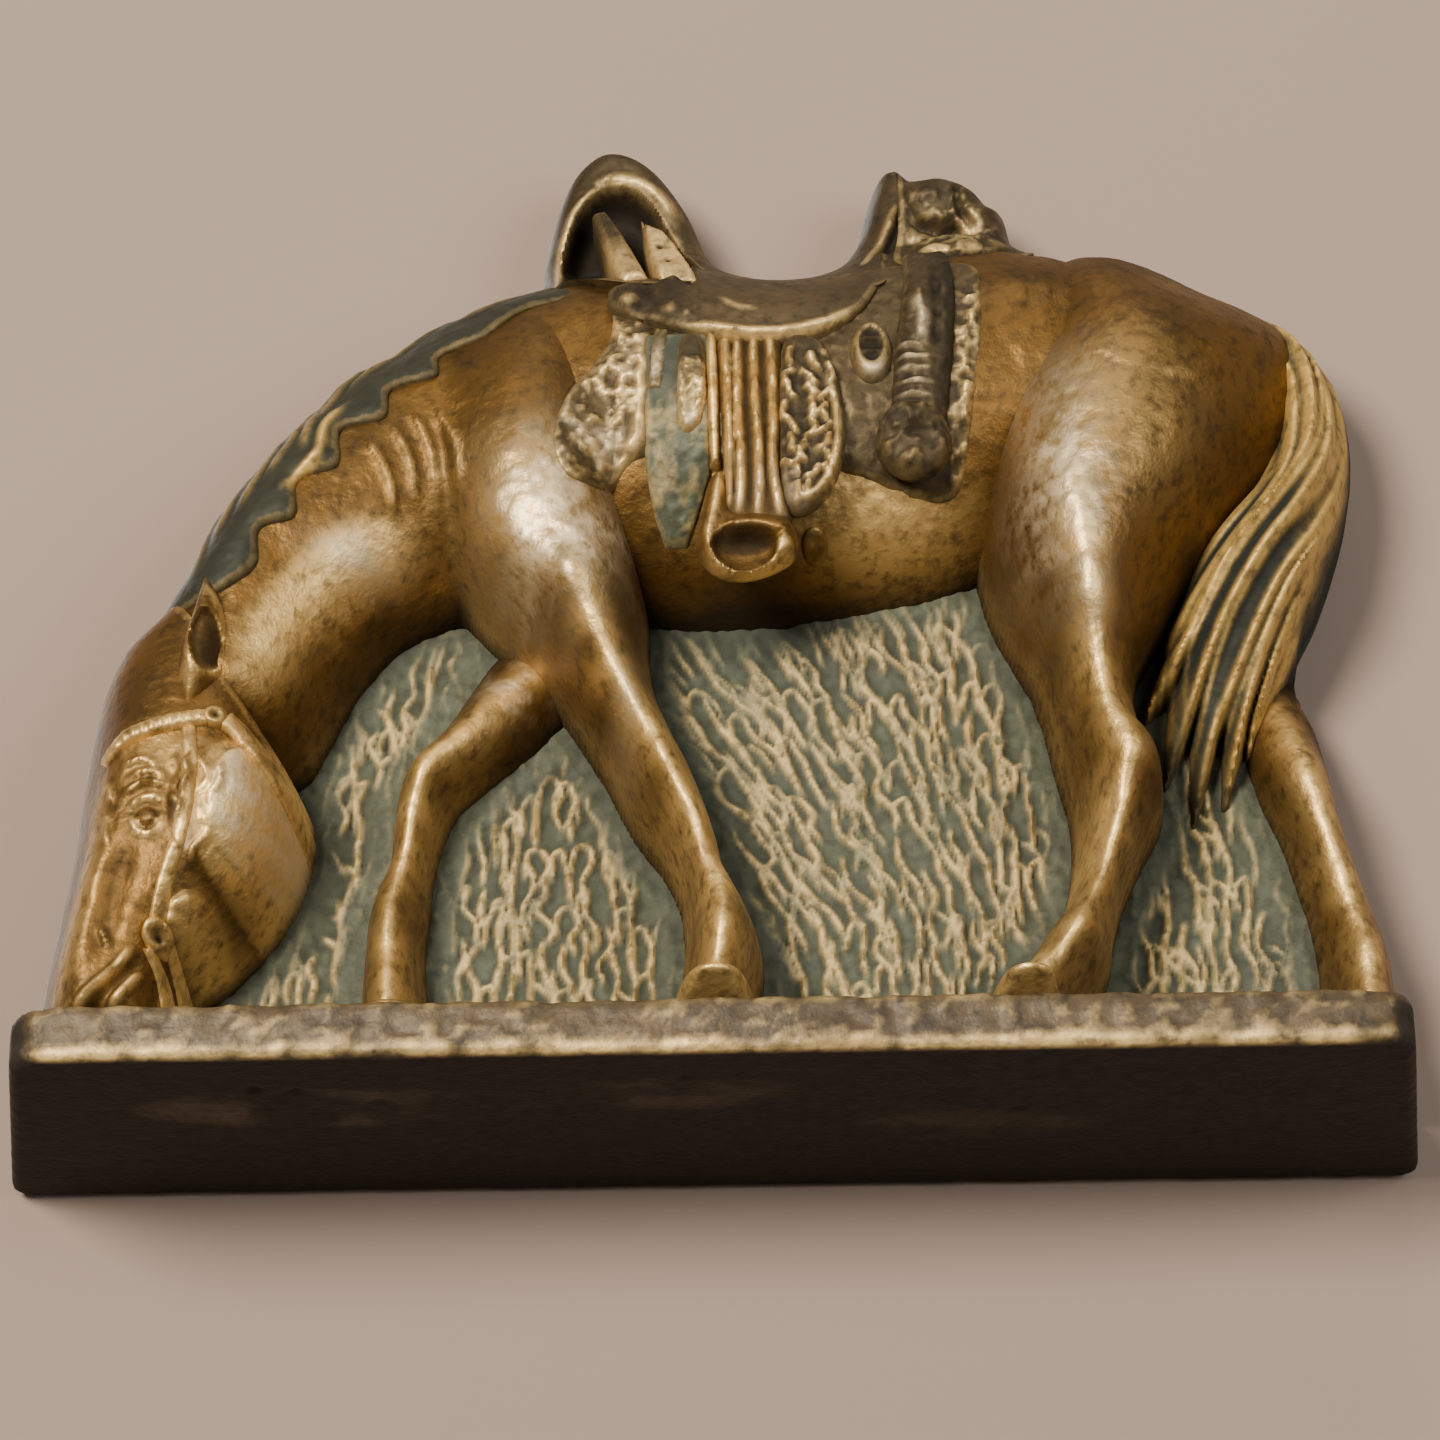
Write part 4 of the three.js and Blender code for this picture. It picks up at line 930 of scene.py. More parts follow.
def makeSlab(sizes):
    bm = bmesh.new()
    slant = math.degrees(math.atan(sizes["taper"] / sizes["depth"]))
    corners = ((-1, -1, sizes["frontCorner"], 180 + slant, 270), (1, -1, sizes["frontCorner"], 270,
            360 - slant),
               (1, 1, sizes["backCorner"], -slant, 90), (-1, 1, sizes["backCorner"], 90, 180 + slant))
    rim = []
    for sx, sy, radius, start, end in corners:
        cy = sy * (sizes["depth"] / 2 - radius)
        inset = radius + math.sin(math.radians(slant)) * (sizes["depth"] / 2 - cy)
        cx = sx * (sizes["length"] / 2 - inset / math.cos(math.radians(slant)))
        for turn in np.radians(np.linspace(start, end, 13)):
            rim.append(bm.verts.new((cx + radius * math.cos(turn), cy + radius * math.sin(turn), 0)))
    floor = bm.faces.new(rim)
    raised = bmesh.ops.extrude_face_region(bm, geom=[floor], use_keep_orig=True)["geom"]
    bmesh.ops.translate(bm, verts=[v for v in raised if isinstance(v, bmesh.types.BMVert)],
                        vec=(0, 0, sizes["height"]))
    bmesh.ops.recalc_face_normals(bm, faces=bm.faces)
    flatEdges = [e for e in bm.edges if e.calc_face_angle(0) > 1.2]
    bmesh.ops.bevel(bm, geom=flatEdges, offset=sizes["edge"], segments=3, affect="EDGES", profile=0.6)
    bmesh.ops.scale(bm, verts=bm.verts, vec=(mm, mm, mm))
    mesh = bpy.data.meshes.new("castSlab")
    bm.to_mesh(mesh)
    bm.free()
    slab = bpy.data.objects.new("castSlab", mesh)
    bpy.context.scene.collection.objects.link(slab)
    remesh = slab.modifiers.new("evenSkin", "REMESH")
    remesh.mode = "VOXEL"
    remesh.voxel_size = sizes["skinCell"] * mm
    remesh.use_smooth_shade = True
    even = bpy.data.meshes.new_from_object(slab.evaluated_get(bpy.context.evaluated_depsgraph_get()))
    slab.modifiers.clear()
    slab.data = even
    co = np.zeros(len(even.vertices) * 3)
    even.vertices.foreach_get("co", co)
    co = co.reshape(-1, 3) / mm
    normals = np.array([n.vector for n in even.vertex_normals])
    x, y, z = co.T
    frontness = np.clip((-normals[:, 1] - 0.3) / 0.5, 0, 1)
    dents = 0.24 * rough(x, z * 1.2, 1.6, 61) * frontness + 0.1 * rough(x, z, 5, 66) * frontness
    topness = np.clip(normals[:, 2], 0, 1)
    dents = dents + 0.16 * rough(x, y, 2.2, 67) * topness
    below = np.clip(-normals[:, 2], 0, 1)
    pits = sum(spot(x, y, px, py, pr) * deepShadeAndDirt for px, py, pr, deepShadeAndDirt in (
        (-45, -12, 0.9, 0.5), (-41, -11.4, 0.7, 0.4), (-33, -8, 0.5, 0.3), (-3, -14, 0.6, 0.3),
        (30, -3, 0.5, 0.25)))
    dents = dents - below * (pits - 0.05 * rough(x, y, 3, 68) + 0.05)
    dents = np.where(normals[:, 1] > 0.5, 0, dents)
    dents = np.where((z > 0.3) | (below < 0.5), dents, np.minimum(dents, 0))
    co = (co + normals * np.minimum(dents, sizes["deepestDent"])[:, None]) * mm
    even.vertices.foreach_set("co", co.ravel())
    even.update()
    even.materials.clear()
    even.materials.append(slabBronze)
    paintMesh(even, slabPaint)
    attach(slab, "root")
    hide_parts("base_slab")
    return slab


makeSlab(slabSizes)

# The cast grass is thin raised strokes on a low ground: long ones that lean under the belly and stand upright
# at the foot, with short hooked ones between them.
grassSizes = {"ground": 7.4, "strokeLift": 0.85, "bankLift": 0.8, "rows": 22, "rowStep": 5.6, "lowestRow": 6,
              "columns": 68, "columnStep": 2.2, "firstColumn": -72, "strokeWidth": 0.38, "hookWidth": 0.34}
grassFields = {
    "byHead": {"box": (-62, slabTop - 0.2, -14, 62), "lean": -0.12, "seed": 3},
    "betweenForelegs": {"box": (-34, slabTop - 0.2, 4, 58), "lean": 0.05, "seed": 5},
    "underBelly": {"box": (-8, slabTop - 0.2, 44, 70), "lean": 0.5, "seed": 7},
    "betweenHindLegs": {"box": (34, slabTop - 0.2, 71, 60), "lean": 0.05, "seed": 11},
}
grassCover = {
    "byHead": loopThrough([[-60, 2], [-60, 38], [-44, 54], [-27, 61.5], [-17, 57], [-23, 46], [-31, 37],
                           [-33, 3]]),
    "betweenForelegs": loopThrough([[-35, 2], [-32, 37], [-24, 50], [-14, 57], [-7, 48], [-1, 34], [1, 3]]),
    "underBelly": loopThrough([[0, 2], [0, 30], [-8, 56], [-8, 66], [30, 71], [42, 54], [43, 36], [40, 22],
                               [34, 3]]),
    "betweenHindLegs": loopThrough([[33, 2], [40, 24], [40, 44], [50, 58], [60, 56], [66, 34], [68, 3]]),
}


def blades(x, z, lean, seed):
    dice = np.random.default_rng(seed)
    long, short = [], []
    for row in range(grassSizes["rows"]):
        for column in range(grassSizes["columns"]):
            px = (grassSizes["firstColumn"] + column * grassSizes["columnStep"] + dice.uniform(-0.6, 0.6)
                  + (row % 2) * grassSizes["columnStep"] / 2)
            pz = grassSizes["lowestRow"] + row * grassSizes["rowStep"] + dice.uniform(-2.2, 2.2)
            length, sway, slip, extra = dice.uniform(5.5, 12), dice.uniform(-0.9, 0.9), dice.uniform(-0.12,
                    0.12), dice.random()
            if not (x.min() - 5 < px < x.max() + 5 and z.min() - 6 < pz < z.max() + 6):
                continue
            slope = lean * np.clip((pz - 12) / 22, 0, 1) * np.clip(1.3 - px / 30 if lean > 0.3 else 1, -0.4,
                    1.4) + slip
            top, foot = [px, pz + length / 2], [px + slope * length, pz - length / 2]
            long.append([top, [px + slope * length * 0.3 + sway, pz + length / 6],
                         [px + slope * length * 0.7 - sway / 2, pz - length / 6],
                         foot])
            if extra < 0.4:
                short.append([top, [px - 1.2, pz + length / 2 - 1], [px - 1.7 + slope, pz + length / 2 - 4]])
            elif extra > 0.75:
                short.append([[px - 1.6, pz + 1.6], [px, pz], [px + 1.2, pz - 2.2]])
    wavy = x + 0.3 * rough(x, z, 3.2, seed + 40)
    return np.maximum(strokes(wavy, z, long, grassSizes["strokeWidth"], 4),
                      0.85 * strokes(wavy, z, short, grassSizes["hookWidth"], 3))


# The ground rises in a bank towards the legs and body: 1 against them, 0 away from them.
def bankBesideHorse(x, z):
    best = np.full(x.shape, -1.0)
    for name in ("nearFore", "nearHind", "farFore", "farHind", "nearForeHoof", "nearHindHoof", "farForeHoof",
                 "farHindHoof",
                 "tail", "head", "neck", "shoulder", "barrel", "haunch"):
        line, flat = masses[name]
        wide = [[p[0], p[1], p[2] + 3.2, 10] for p in line]
        best = np.maximum(best, ridge(x, z, wide, flat))
    return np.clip(best / 6, 0, 1)


def grassPiece(name):
    field = grassFields[name]

    def linesAndBank(x, z):
        bank = bankBesideHorse(x, z)
        return blades(x, z, field["lean"], field["seed"]) * np.clip(1.25 - bank * 1.1, 0, 1), bank

    def relief(x, z):
        lines, bank = linesAndBank(x, z)
        height = (grassSizes["ground"] + grassSizes["strokeLift"] * lines + 0.2 * rough(x, z, 1.7,
                field["seed"])
                  + grassSizes["bankLift"] * bank ** 2)
        return roundedOff(x, z, height + castSkin(x, z, 0.08))

    def paint(x, z, height):
        lines = np.where(height > 5, linesAndBank(x, z)[0], 0)
        return lines * (0.85 + 0.4 * rough(x, z, 4, 50)), np.clip(0.5 - lines, 0, 1) * 0.4, x * 0

    cover = grassCover[name]
    return reliefPiece("castGrass" + name[0].upper() + name[1:], ["grass_" + "".join(
        "_" + c.lower() if c.isupper() else c for c in name)], field["box"],
        lambda x, z: inside(x, z, silhouette) & inside(x, z, cover), relief, groundBronze, paint, 0.33,
        rims=(silhouette, cover))


print("grass")
for name in grassFields:
    grassPiece(name)


def bodyHeight(x, z):
    whole = smoothMax(mass("barrel", x, z), mass("shoulder", x, z), 5)
    whole = smoothMax(whole, smoothMax(mass("neck", x, z), mass("haunch", x, z), 5), 5)
    return roundedOff(x, z, np.maximum(whole, 5))


def onBlanket(x, z):
    return bodyHeight(x, z) + 0.7


# A piece of gear: an outline raised from what lies below it, with a rounded rim and its own detail on top.
def gearPiece(name, nodes, outline, lift, finish, rim=1.0, detail=None, paint=None, below=onBlanket,
              cell=0.26,
              rear=None, clip=False, hang=0):
    outline = np.array(outline)
    x0, z0 = outline.min(axis=0) - 0.4
    x1, z1 = outline.max(axis=0) + 0.4

    def rounded(x, z):
        away = np.clip(nearestOn(x, z, outline)[0] / rim, 0, 1)
        return np.sqrt(1 - (1 - away) ** 2)

    def heightOf(x, z):
        raised = np.maximum(below(x, z), hang) + lift * rounded(x, z)
        if detail:
            raised = raised + detail(x, z) * np.clip(rounded(x, z) * 1.4 - 0.2, 0, 1)
        return roundedOff(x, z, raised) if clip else raised

    def kept(x, z):
        return inside(x, z, outline) & inside(x, z, silhouette) if clip else inside(x, z, outline)

    def hangingUnder(x, z):
        return np.maximum(below(x, z) - 0.9, hang - 0.6 - 2 * nearestOn(x, z, outline)[0])
    under = None if rear is not None else hangingUnder if hang else (lambda x, z: below(x, z) - 0.9)
    rims = (outline, silhouette) if clip else (outline,)
    return reliefPiece(name, nodes, (x0, z0, x1, z1), kept, heightOf, finish, paint, cell, rims=rims,
                       rear=rear, under=under)


def bandOutline(line, steps=4):
    middle = curveThrough(line, steps)
    along = np.gradient(middle[:, :2], axis=0)
    along /= np.linalg.norm(along, axis=1)[:, None] + 1e-9
    side = np.stack([-along[:, 1], along[:, 0]], axis=1) * middle[:, 2:3]
    return np.vstack([middle[:, :2] + side, (middle[:, :2] - side)[::-1]])


def ovalOutline(cx, cz, rx, rz, sides=40):
    turn = np.linspace(0, 2 * math.pi, sides, endpoint=False)
    return np.stack([cx + rx * np.cos(turn), cz + rz * np.sin(turn)], axis=1)


def knobs(x, z, size, seed):
    return np.clip(rough(x, z, size, seed) + 0.15, -0.2, 1)


# Sides facing down and back, below the given level, are painted dark as shade.
def painted(glow=None, dirt=None, silver=None, shadeBelow=0):
    def paint(x, z, height):
        found = [np.zeros(x.shape) if f is None else f(x, z) + 0 * x for f in (glow, dirt, silver)]
        shadedWall = np.clip((shadeBelow - height) / 1.2, 0, 1)
        return found[0] * (1 - shadedWall), found[1] + shadedWall, found[2] * (1 - shadedWall)
    return paint


print("gear")
blanketEdge = loopThrough([[-9.6, 95], [-10, 88.6], [-12, 84.6], [-14.6, 80.6], [-16.2, 74.4], [-14.6, 69.8],
                           [-10.8, 70.4],
                           [-7.8, 73.6], [-4, 73.8], [3, 72.6], [15, 72.4], [22, 70.6], [26.8, 70.9],
                           [28.2, 75], [29, 80], [29.8, 86],
                           [30.2, 92], [28.6, 99], [14, 98.6], [2, 97.6], [-6, 97.2]])


blanketFold = [[-4.6, 91], [-4.6, 84], [-4.8, 78]]
blanketWelt = [[-6.8, 87], [-6.7, 82], [-7.4, 76], [-9.4, 71]]


def blanketFront(x, z):
    return stroke(x, z, [[-9, 90], [-10, 84], [-11.4, 79], [-12.4, 74]], 3.4, taper=False)


def blanketRear(x, z):
    return stroke(x, z, [[29.4, 92], [28.8, 86], [28.4, 80], [27.6, 73]], 1.4, taper=False)


def blanketDetail(x, z):
    knobby = knobs(x, z, 1.0, 71)
    recess = stroke(x, z, blanketFold, 1.6, taper=False)
    edge = stroke(x, z, blanketWelt, 0.8)
    return knobby * (0.25 + 0.75 * np.maximum(blanketFront(x, z),
                                              blanketRear(x, z))) * 0.8 - recess * 0.7 + edge * 0.8


gearPiece("castBlanket", ["saddle_blanket"], blanketEdge, 0.6, gearBronze, 1.6, blanketDetail, painted(
    lambda x, z: np.maximum(blanketFront(x, z), blanketRear(x, z)) * np.clip(0.3 + 0.6 * knobs(x, z, 1.0, 71),
            0, 1)
    + stroke(x, z, blanketWelt, 0.7) * 0.9,
    lambda x, z: stroke(x, z, blanketFold, 1.6) * 0.3
    + np.clip(-knobs(x, z, 1.0, 71) * 2, 0, 0.25) + spot(x, z, 22, 76, 6, 9) * 0.3,
    lambda x, z: blanketFront(x, z) * np.clip(0.1 + rough(x, z, 2.6, 72), 0, 1) * 0.5), below=bodyHeight,
    cell=0.3)

gearPiece("castCinch", ["cinch"], runs([[-6.4, 88], [0.6, 88]], [[0.5, 72], [-0.8, 68.6], [-2, 66]],
                                       [[-4.4, 66], [-5.6, 69], [-6.4, 73]]), 0.5, groundBronze, 1.2,
          lambda x, z: 0.35 * knobs(x, z, 1.2, 75), painted(
              lambda x, z: np.clip(0.4 + rough(x, z, 1.2, 76), 0, 1) * 0.4 * np.clip((82 - z) / 4, 0.2, 1),
              lambda x, z: np.clip(rough(x, z, 2.2, 77), 0, 1) * 0.25 + np.clip((z - 79) / 6, 0, 0.5)),
              below=lambda x, z: onBlanket(x, z) - 0.5 * np.clip((73 - z) / 3, 0, 1))

skirtLip = [[-0.8, 88.6], [3, 87.4], [6.5, 87.1], [9.9, 87.4], [13.4, 88.4], [16, 90]]
seatCrease = [[1.6, 93], [3.6, 91.2], [6, 90.8]]
seatEdge = runs([[-3, 112], [20, 112]], [[21, 104], [20, 97], [17.4, 91], [13.4, 87.4], [9.9, 86.2],
                                         [6.5, 85.9],
                                         [2.8, 86.3], [-1.4, 87.8], [-5, 89.4], [-9.6, 91.6], [-10.4, 94],
                                         [-9.4, 96.4], [-4, 97.8]])


# The saddle's own surface slopes forward from its top edge to the horse's side.
def saddleTop(z):
    return 14 + np.clip(105 - z, 0, 20)


def seatDetail(x, z):
    return (0.9 * stroke(x, z, skirtLip, 0.6) + 0.6 * spot(x, z, -8, 92.8, 1.5, 0.9)
            + 0.5 * spot(x, z, -3.7, 90.9, 1.4, 0.7) + 0.5 * rough(x, z, 1.7, 80) * (x < -0.5) + 0.5
            * stroke(x, z, seatCrease, 0.5)
            - 0.7 * stroke(x, z, [[-5.6, 100], [-6.2, 96], [-6, 93]], 0.7) + 0.12 * rough(x, z, 2, 81)
            - 0.6 * stroke(x, z, [[-1.8, 100], [-1.4, 96], [-2, 93]], 0.7)
            + 0.35 * spot(x, z, 9, 102, 6, 2.2) * rough(x, z, 1.0, 84))


def seatBase(x, z):
    return np.minimum(saddleTop(z), onBlanket(x, z) + 0.5)


gearPiece("castSeat", ["seat", "skirt"], seatEdge, 0.8, gearBronze, 2.0, seatDetail, painted(
    lambda x, z: stroke(x, z, skirtLip, 0.7) + 0.8 * dome(x, z, -8, 92.8, 1.2, 1) + 0.4 * dome(x, z, -3.7,
            90.9, 1.2, 0.8)
    + 0.5 * stroke(x, z, seatCrease, 0.5) + 0.2 * np.exp(-((z - 105) / 1.4) ** 2),
    lambda x, z: 0.6 * np.clip((-0.5 - x) / 2, 0, 1) + 0.35 * np.clip((x - 14) / 4, 0, 1)
    + 0.3 * spot(x, z, 8, 97, 9, 2.5)), below=seatBase, clip=True, rear=3.9, cell=0.3)


# The hood at the front of the saddle: a thick rolled rim round a deep hollow, with two posts in it.
hollowEdge = loopThrough([[-16, 99.4], [-16, 103], [-15.2, 107], [-13.8, 110.6], [-11.6, 113.2],
                          [-8.6, 113.6],
                          [-6, 111.8], [-4.2, 108.6], [-2.4, 105], [-0.4, 101], [-0.2, 98.4], [-6, 97.8],
                          [-12, 98]])


def hollowDepth(x, z):
    within = inside(x, z, hollowEdge)
    away = nearestOn(x, z, hollowEdge)[0]
    bowl = np.where(within, np.sqrt(1 - (1 - np.clip(away / 2.2, 0, 1)) ** 2), 0)
    return bowl * np.clip((z - 97.5) / 4, 0, 1)


def hoodRimLine(x, z):
    left = stroke(x, z, [[-16.5, 100.9], [-16.3, 104], [-15.6, 107.4], [-14.3, 110.8], [-11.9, 113.6]], 0.45)
    top = stroke(x, z, [[-11.8, 114], [-9.8, 114.8], [-7.2, 114.3], [-4.6, 112.3], [-2.4, 109.8]], 0.8)
    return np.maximum(left, top)


# The posts stand in the mouth of the hollow and lean back from their feet.
def postFoot(x, z):
    return 20.6 - 0.5 * np.clip(z - 98, 0, 12)


gearPiece("castPommel", ["pommel", "pommel_lining", "horn_cap"],
          runs([[-20, 105], [-20, 125], [6, 125]], [[6, 108], [5.6, 102], [3, 98.6], [-2, 96.6], [-8, 96.4],
                                                    [-14.6, 99.4],
                                                   [-17.6, 102.4]]), 0,
          gearBronze, 0.8, lambda x, z: -5 * hollowDepth(x, z) + 0.7 * hoodRimLine(x, z) + 0.15 * rough(x, z,
                  1.8, 85),
          painted(lambda x, z: 0.7 * hoodRimLine(x, z) + 0.25 * spot(x, z, 1.2, 106, 3, 3),
                  lambda x, z: 0.7 * hollowDepth(x, z) + 0.3 * (1 - hoodRimLine(x, z))),
          below=lambda x, z: saddleTop(z), clip=True, rear=3.9)
gearPiece("castPostFront", ["fork_post_front"], bandOutline([[-11.6, 109.6, 0.9], [-10, 105, 1.3],
                                                             [-7.4, 96.8, 1.7]]), 1.5,
          gearBronze, 1.2, lambda x, z: 0.12 * rough(x, z, 1.1, 86), painted(
              lambda x, z: np.clip((105 - z) / 4, 0, 1) * 0.6, lambda x, z: np.clip((z - 104) / 3, 0, 1)
              * 0.6),
          below=postFoot, rear=4.4)
gearPiece("castPostRear", ["fork_post_rear"], runs([[-7, 109.6], [-6.2, 107], [-4.2, 105.6], [-2.4, 102],
                                                    [-0.1, 96.4]],
                                                   [[-4.7, 96.4], [-6, 101.6]]), 1.6, gearBronze, 0.5,
          lambda x, z: -0.8 * spot(x, z, -4.7, 102.6, 0.4) - 0.6 * spot(x, z, -3.8, 100.2, 0.35) + 0.15
          * rough(x, z, 1, 87),
          painted(lambda x, z: 0.75 - 0.6 * np.clip((z - 105) / 2, 0, 1),
                  lambda x, z: 0.9 * spot(x, z, -4.7, 102.6, 0.45) + 0.7 * spot(x, z, -3.8, 100.2, 0.4)
                  + 0.7 * np.clip((z - 107) / 2, 0, 1)),
          below=postFoot, rear=4.4)

cantleSeam = [[21.8, 110.4], [20.6, 107], [19.2, 103.6], [17.4, 99.6]]
cantleGroove = [[a + 1.1, b] for a, b in cantleSeam]
gearPiece("castCantle", ["cantle"], runs([[13.4, 108], [17, 124], [24.4, 124]],
                                         [[24.2, 111], [23, 105], [21.6, 99], [18.4, 94], [13.4, 98]]), 0,
                                         gearBronze, 0.7,
          lambda x, z: 0.9 * stroke(x, z, cantleSeam, 0.5) - 0.8 * stroke(x, z, cantleGroove, 0.6)
          + 0.2 * rough(x, z, 1.8, 88), painted(
              lambda x, z: 0.9 * stroke(x, z, cantleSeam, 0.55), lambda x, z: 0.4 + 0.3 * stroke(
                  x, z, cantleGroove, 0.8)),
          below=lambda x, z: saddleTop(z) + 0.5, clip=True, rear=3.9)


def bedrollLumps(x, z):
    lumps = (dome(x, z, 26.4, 111.6, 3.6, 4) + dome(x, z, 31.2, 109.4, 3.4, 3.6) * 0.9
             + dome(x, z, 28.6, 104, 5.4, 2.2) * 1.1 + dome(x, z, 34, 106, 2.6, 2.6) * 0.6)
    folds = strokes(x, z, [[[23.6, 108], [26.4, 106.6], [29.4, 107.4]], [[28.6, 112.6], [28.8, 109.4],
            [30.4, 106.8]],
                           [[24.2, 103.6], [27.4, 105.2], [31.4, 104.6]], [[31.8, 106.6], [33.4, 108.6]]],
                           0.5)
    return lumps * 1.7 - folds * 1.1 + 0.4 * knobs(x, z, 1.5, 89)


gearPiece("castBedroll", ["bedroll"], runs([[22.4, 124], [42, 124]], [[38, 109], [36.6, 103], [32.6, 99.6],
        [26, 98.4],
                                                                     [21.4, 100], [22, 107]]), 0, gearBronze,
                                                                             0.7,
          bedrollLumps, painted(
              lambda x, z: dome(x, z, 25.6, 102.6, 1.9, 0.8) + dome(x, z, 29.6, 102.8, 1.5, 1.2)
              + 0.7 * np.clip(rough(x, z, 1.6, 90), 0, 1) * spot(x, z, 28, 105.5, 5, 3),
              # The bedroll is darker towards its top: patina and painted shade.
              lambda x, z: 0.5 * np.clip(-rough(x, z, 1.6, 90) + 0.3, 0, 1) + 0.25 * np.clip((z - 110) / 6, 0,
                      1)),
          below=lambda x, z: saddleTop(z) + 1, clip=True, rear=3.9)


def caseRibs(x, z):
    within = np.exp(-((x - 22.2) / 1.5) ** 2)
    return np.clip(np.cos((z - 79.2) * 2 * math.pi / 1.45), 0, 1) * within * (z > 78.4) * (z < 85.6)


gearPiece("castScabbard", ["scabbard"], bandOutline([[24.4, 101, 2.4], [24.6, 94, 2.8], [23.8, 86, 3.1],
                                                     [22.8, 76, 3]]), 1.9,
          gearBronze, 2.4, lambda x, z: 0.5 * caseRibs(x, z) + 0.7 * stroke(x, z, [[23, 93.4], [23.5, 89],
                  [23.2, 85.4]], 0.6)
          - 0.6 * stroke(x, z, [[25.2, 96], [25.2, 89], [24.6, 84]], 0.5) + 0.3 * rough(x, z, 1.2, 91),
          painted(lambda x, z: 0.35 * caseRibs(x, z),
                  lambda x, z: 0.6 * (1 - np.exp(-((x - 23.2) / 2.2) ** 2)) + 0.3,
                  lambda x, z: 0.9 * caseRibs(x, z) + 0.9 * stroke(x, z, [[22.9, 91], [23.6, 88.6],
                          [23.4, 85.4]], 0.6)))
gearPiece("castCanteen", ["canteen"], ovalOutline(22.4, 75, 4.1, 4.3), 2.6, gearBronze, 2.6,
          lambda x, z: 0.7 * knobs(x, z, 1.5, 92), painted(
              lambda x, z: 0.25 * np.clip(rough(x, z, 2.4, 93), 0, 1), lambda x, z: 0.55 + 0.2 * rough(x, z,
                      2.2, 94)), hang=24.5)
gearPiece("castPouch", ["pouch"], ovalOutline(18, 84.9, 2.3, 3.6), 1.8, gearBronze, 1.2,
          lambda x, z: -0.8 * dome(x, z, 18, 85.3, 1.3, 2.2, 4) + 0.7 * strokes(
              x, z, [[[17, 84.4], [19, 84.4]], [[17, 86], [19, 86]]], 0.35), painted(
              lambda x, z: 0.25 * dome(x, z, 18, 84.9, 2.1, 3.3, 8) * (1 - dome(x, z, 18, 85.2, 1.4, 2.4, 4)),
              lambda x, z: 0.6 * dome(x, z, 18, 85.2, 1.3, 2.2, 4) + 0.2,
              lambda x, z: 0.7 * spot(x, z, 18.2, 82.2, 1.5, 0.8)))

fenderRidges = [[[2.2, 88], [2.4, 82], [2.6, 74], [2.4, 67]], [[3.6, 88], [3.5, 78], [3.8, 72], [3.6, 66]],
                [[5.3, 88], [5.4, 79.5], [5.7, 72], [5.6, 65.6]], [[7.1, 88], [7.3, 79.5], [7.2, 71],
                        [7.9, 65.6]]]
gearPiece("castFender", ["fender"], runs([[1.3, 86.6], [8.5, 86.6]], [[8.4, 78], [7.9, 71], [9.2, 64.6]],
                                         [[2, 64.6], [2, 71], [1.7, 80]]), 1.2, hideBronze, 0.6,
          lambda x, z: strokes(x + 0.12 * rough(x, z, 1.5, 79), z, fenderRidges, 0.5) - 0.3, painted(
              lambda x, z: strokes(x, z, fenderRidges, 0.45),
              lambda x, z: 0.75 * np.clip(1 - 1.5 * strokes(x, z, fenderRidges, 0.62), 0, 1) + 0.3 * np.clip(
                  (z - 84) / 4, 0, 1),
              lambda x, z: 0.6 * strokes(x, z, fenderRidges, 0.5) * np.clip((74 - z) / 5, 0, 1)), hang=26.6)


fleeceDice = np.random.default_rng(17)
fleeceCurls = []
for row in range(9):
    for column in range(3):
        px, pz = 9.2 + column * 2 + fleeceDice.uniform(-0.5, 0.5), 68.2 + row * 1.9 + fleeceDice.uniform(-0.5,
                0.5)
        turn, bend = fleeceDice.uniform(0.6, 2.6), fleeceDice.uniform(-0.7, 0.7)
        dx, dz = 1.15 * math.cos(turn), 1.15 * math.sin(turn)
        fleeceCurls.append([[px - dx, pz - dz], [px - bend * dz, pz + bend * dx], [px + dx, pz + dz]])


def fleece(x, z):
    curls = strokes(x + 0.3 * rough(x, z, 1.4, 95), z + 0.3 * rough(x, z, 1.4, 96), fleeceCurls, 0.4, 4)
    hem = stroke(x, z, [[9.4, 67.2], [11.4, 67.6], [13.2, 70], [14.1, 73.4], [14.1, 77.4], [13.2, 82]], 0.5)
    return np.maximum(curls, hem)


gearPiece("castFleeceFlap", ["woolly_flap"], loopThrough([[8.6, 86.4], [7.8, 78], [7.9, 69], [9.2, 65.9],
                                                          [11.5, 66.4], [13.5, 69],
                                                          [14.7, 72.4], [15.1, 76.4], [14.6, 80.6],
                                                          [13.4, 84.6], [12.2, 86.6]]), 1.3,
          gearBronze, 0.9, lambda x, z: fleece(x, z) + 0.25 * knobs(x, z, 0.9, 97), painted(
              lambda x, z: 0.95 * fleece(x, z), lambda x, z: 0.5 * np.clip(1 - 1.4 * fleece(x, z), 0, 1) + 0.4
              * np.clip(
                  (z - 85) / 4, 0, 1), lambda x, z: 0.4 * spot(x, z, 9, 68, 2, 2)), hang=26.2)
gearPiece("castTieStrap", ["tie_strap"], bandOutline([[0.8, 88, 0.6], [0.9, 82, 0.7], [1.1, 72.4, 0.6]]), 1.0,
          hideBronze, 0.6,
          None, painted(lambda x, z: 0.55 + 0.4 * rough(x, z, 1.5, 98)), cell=0.22)
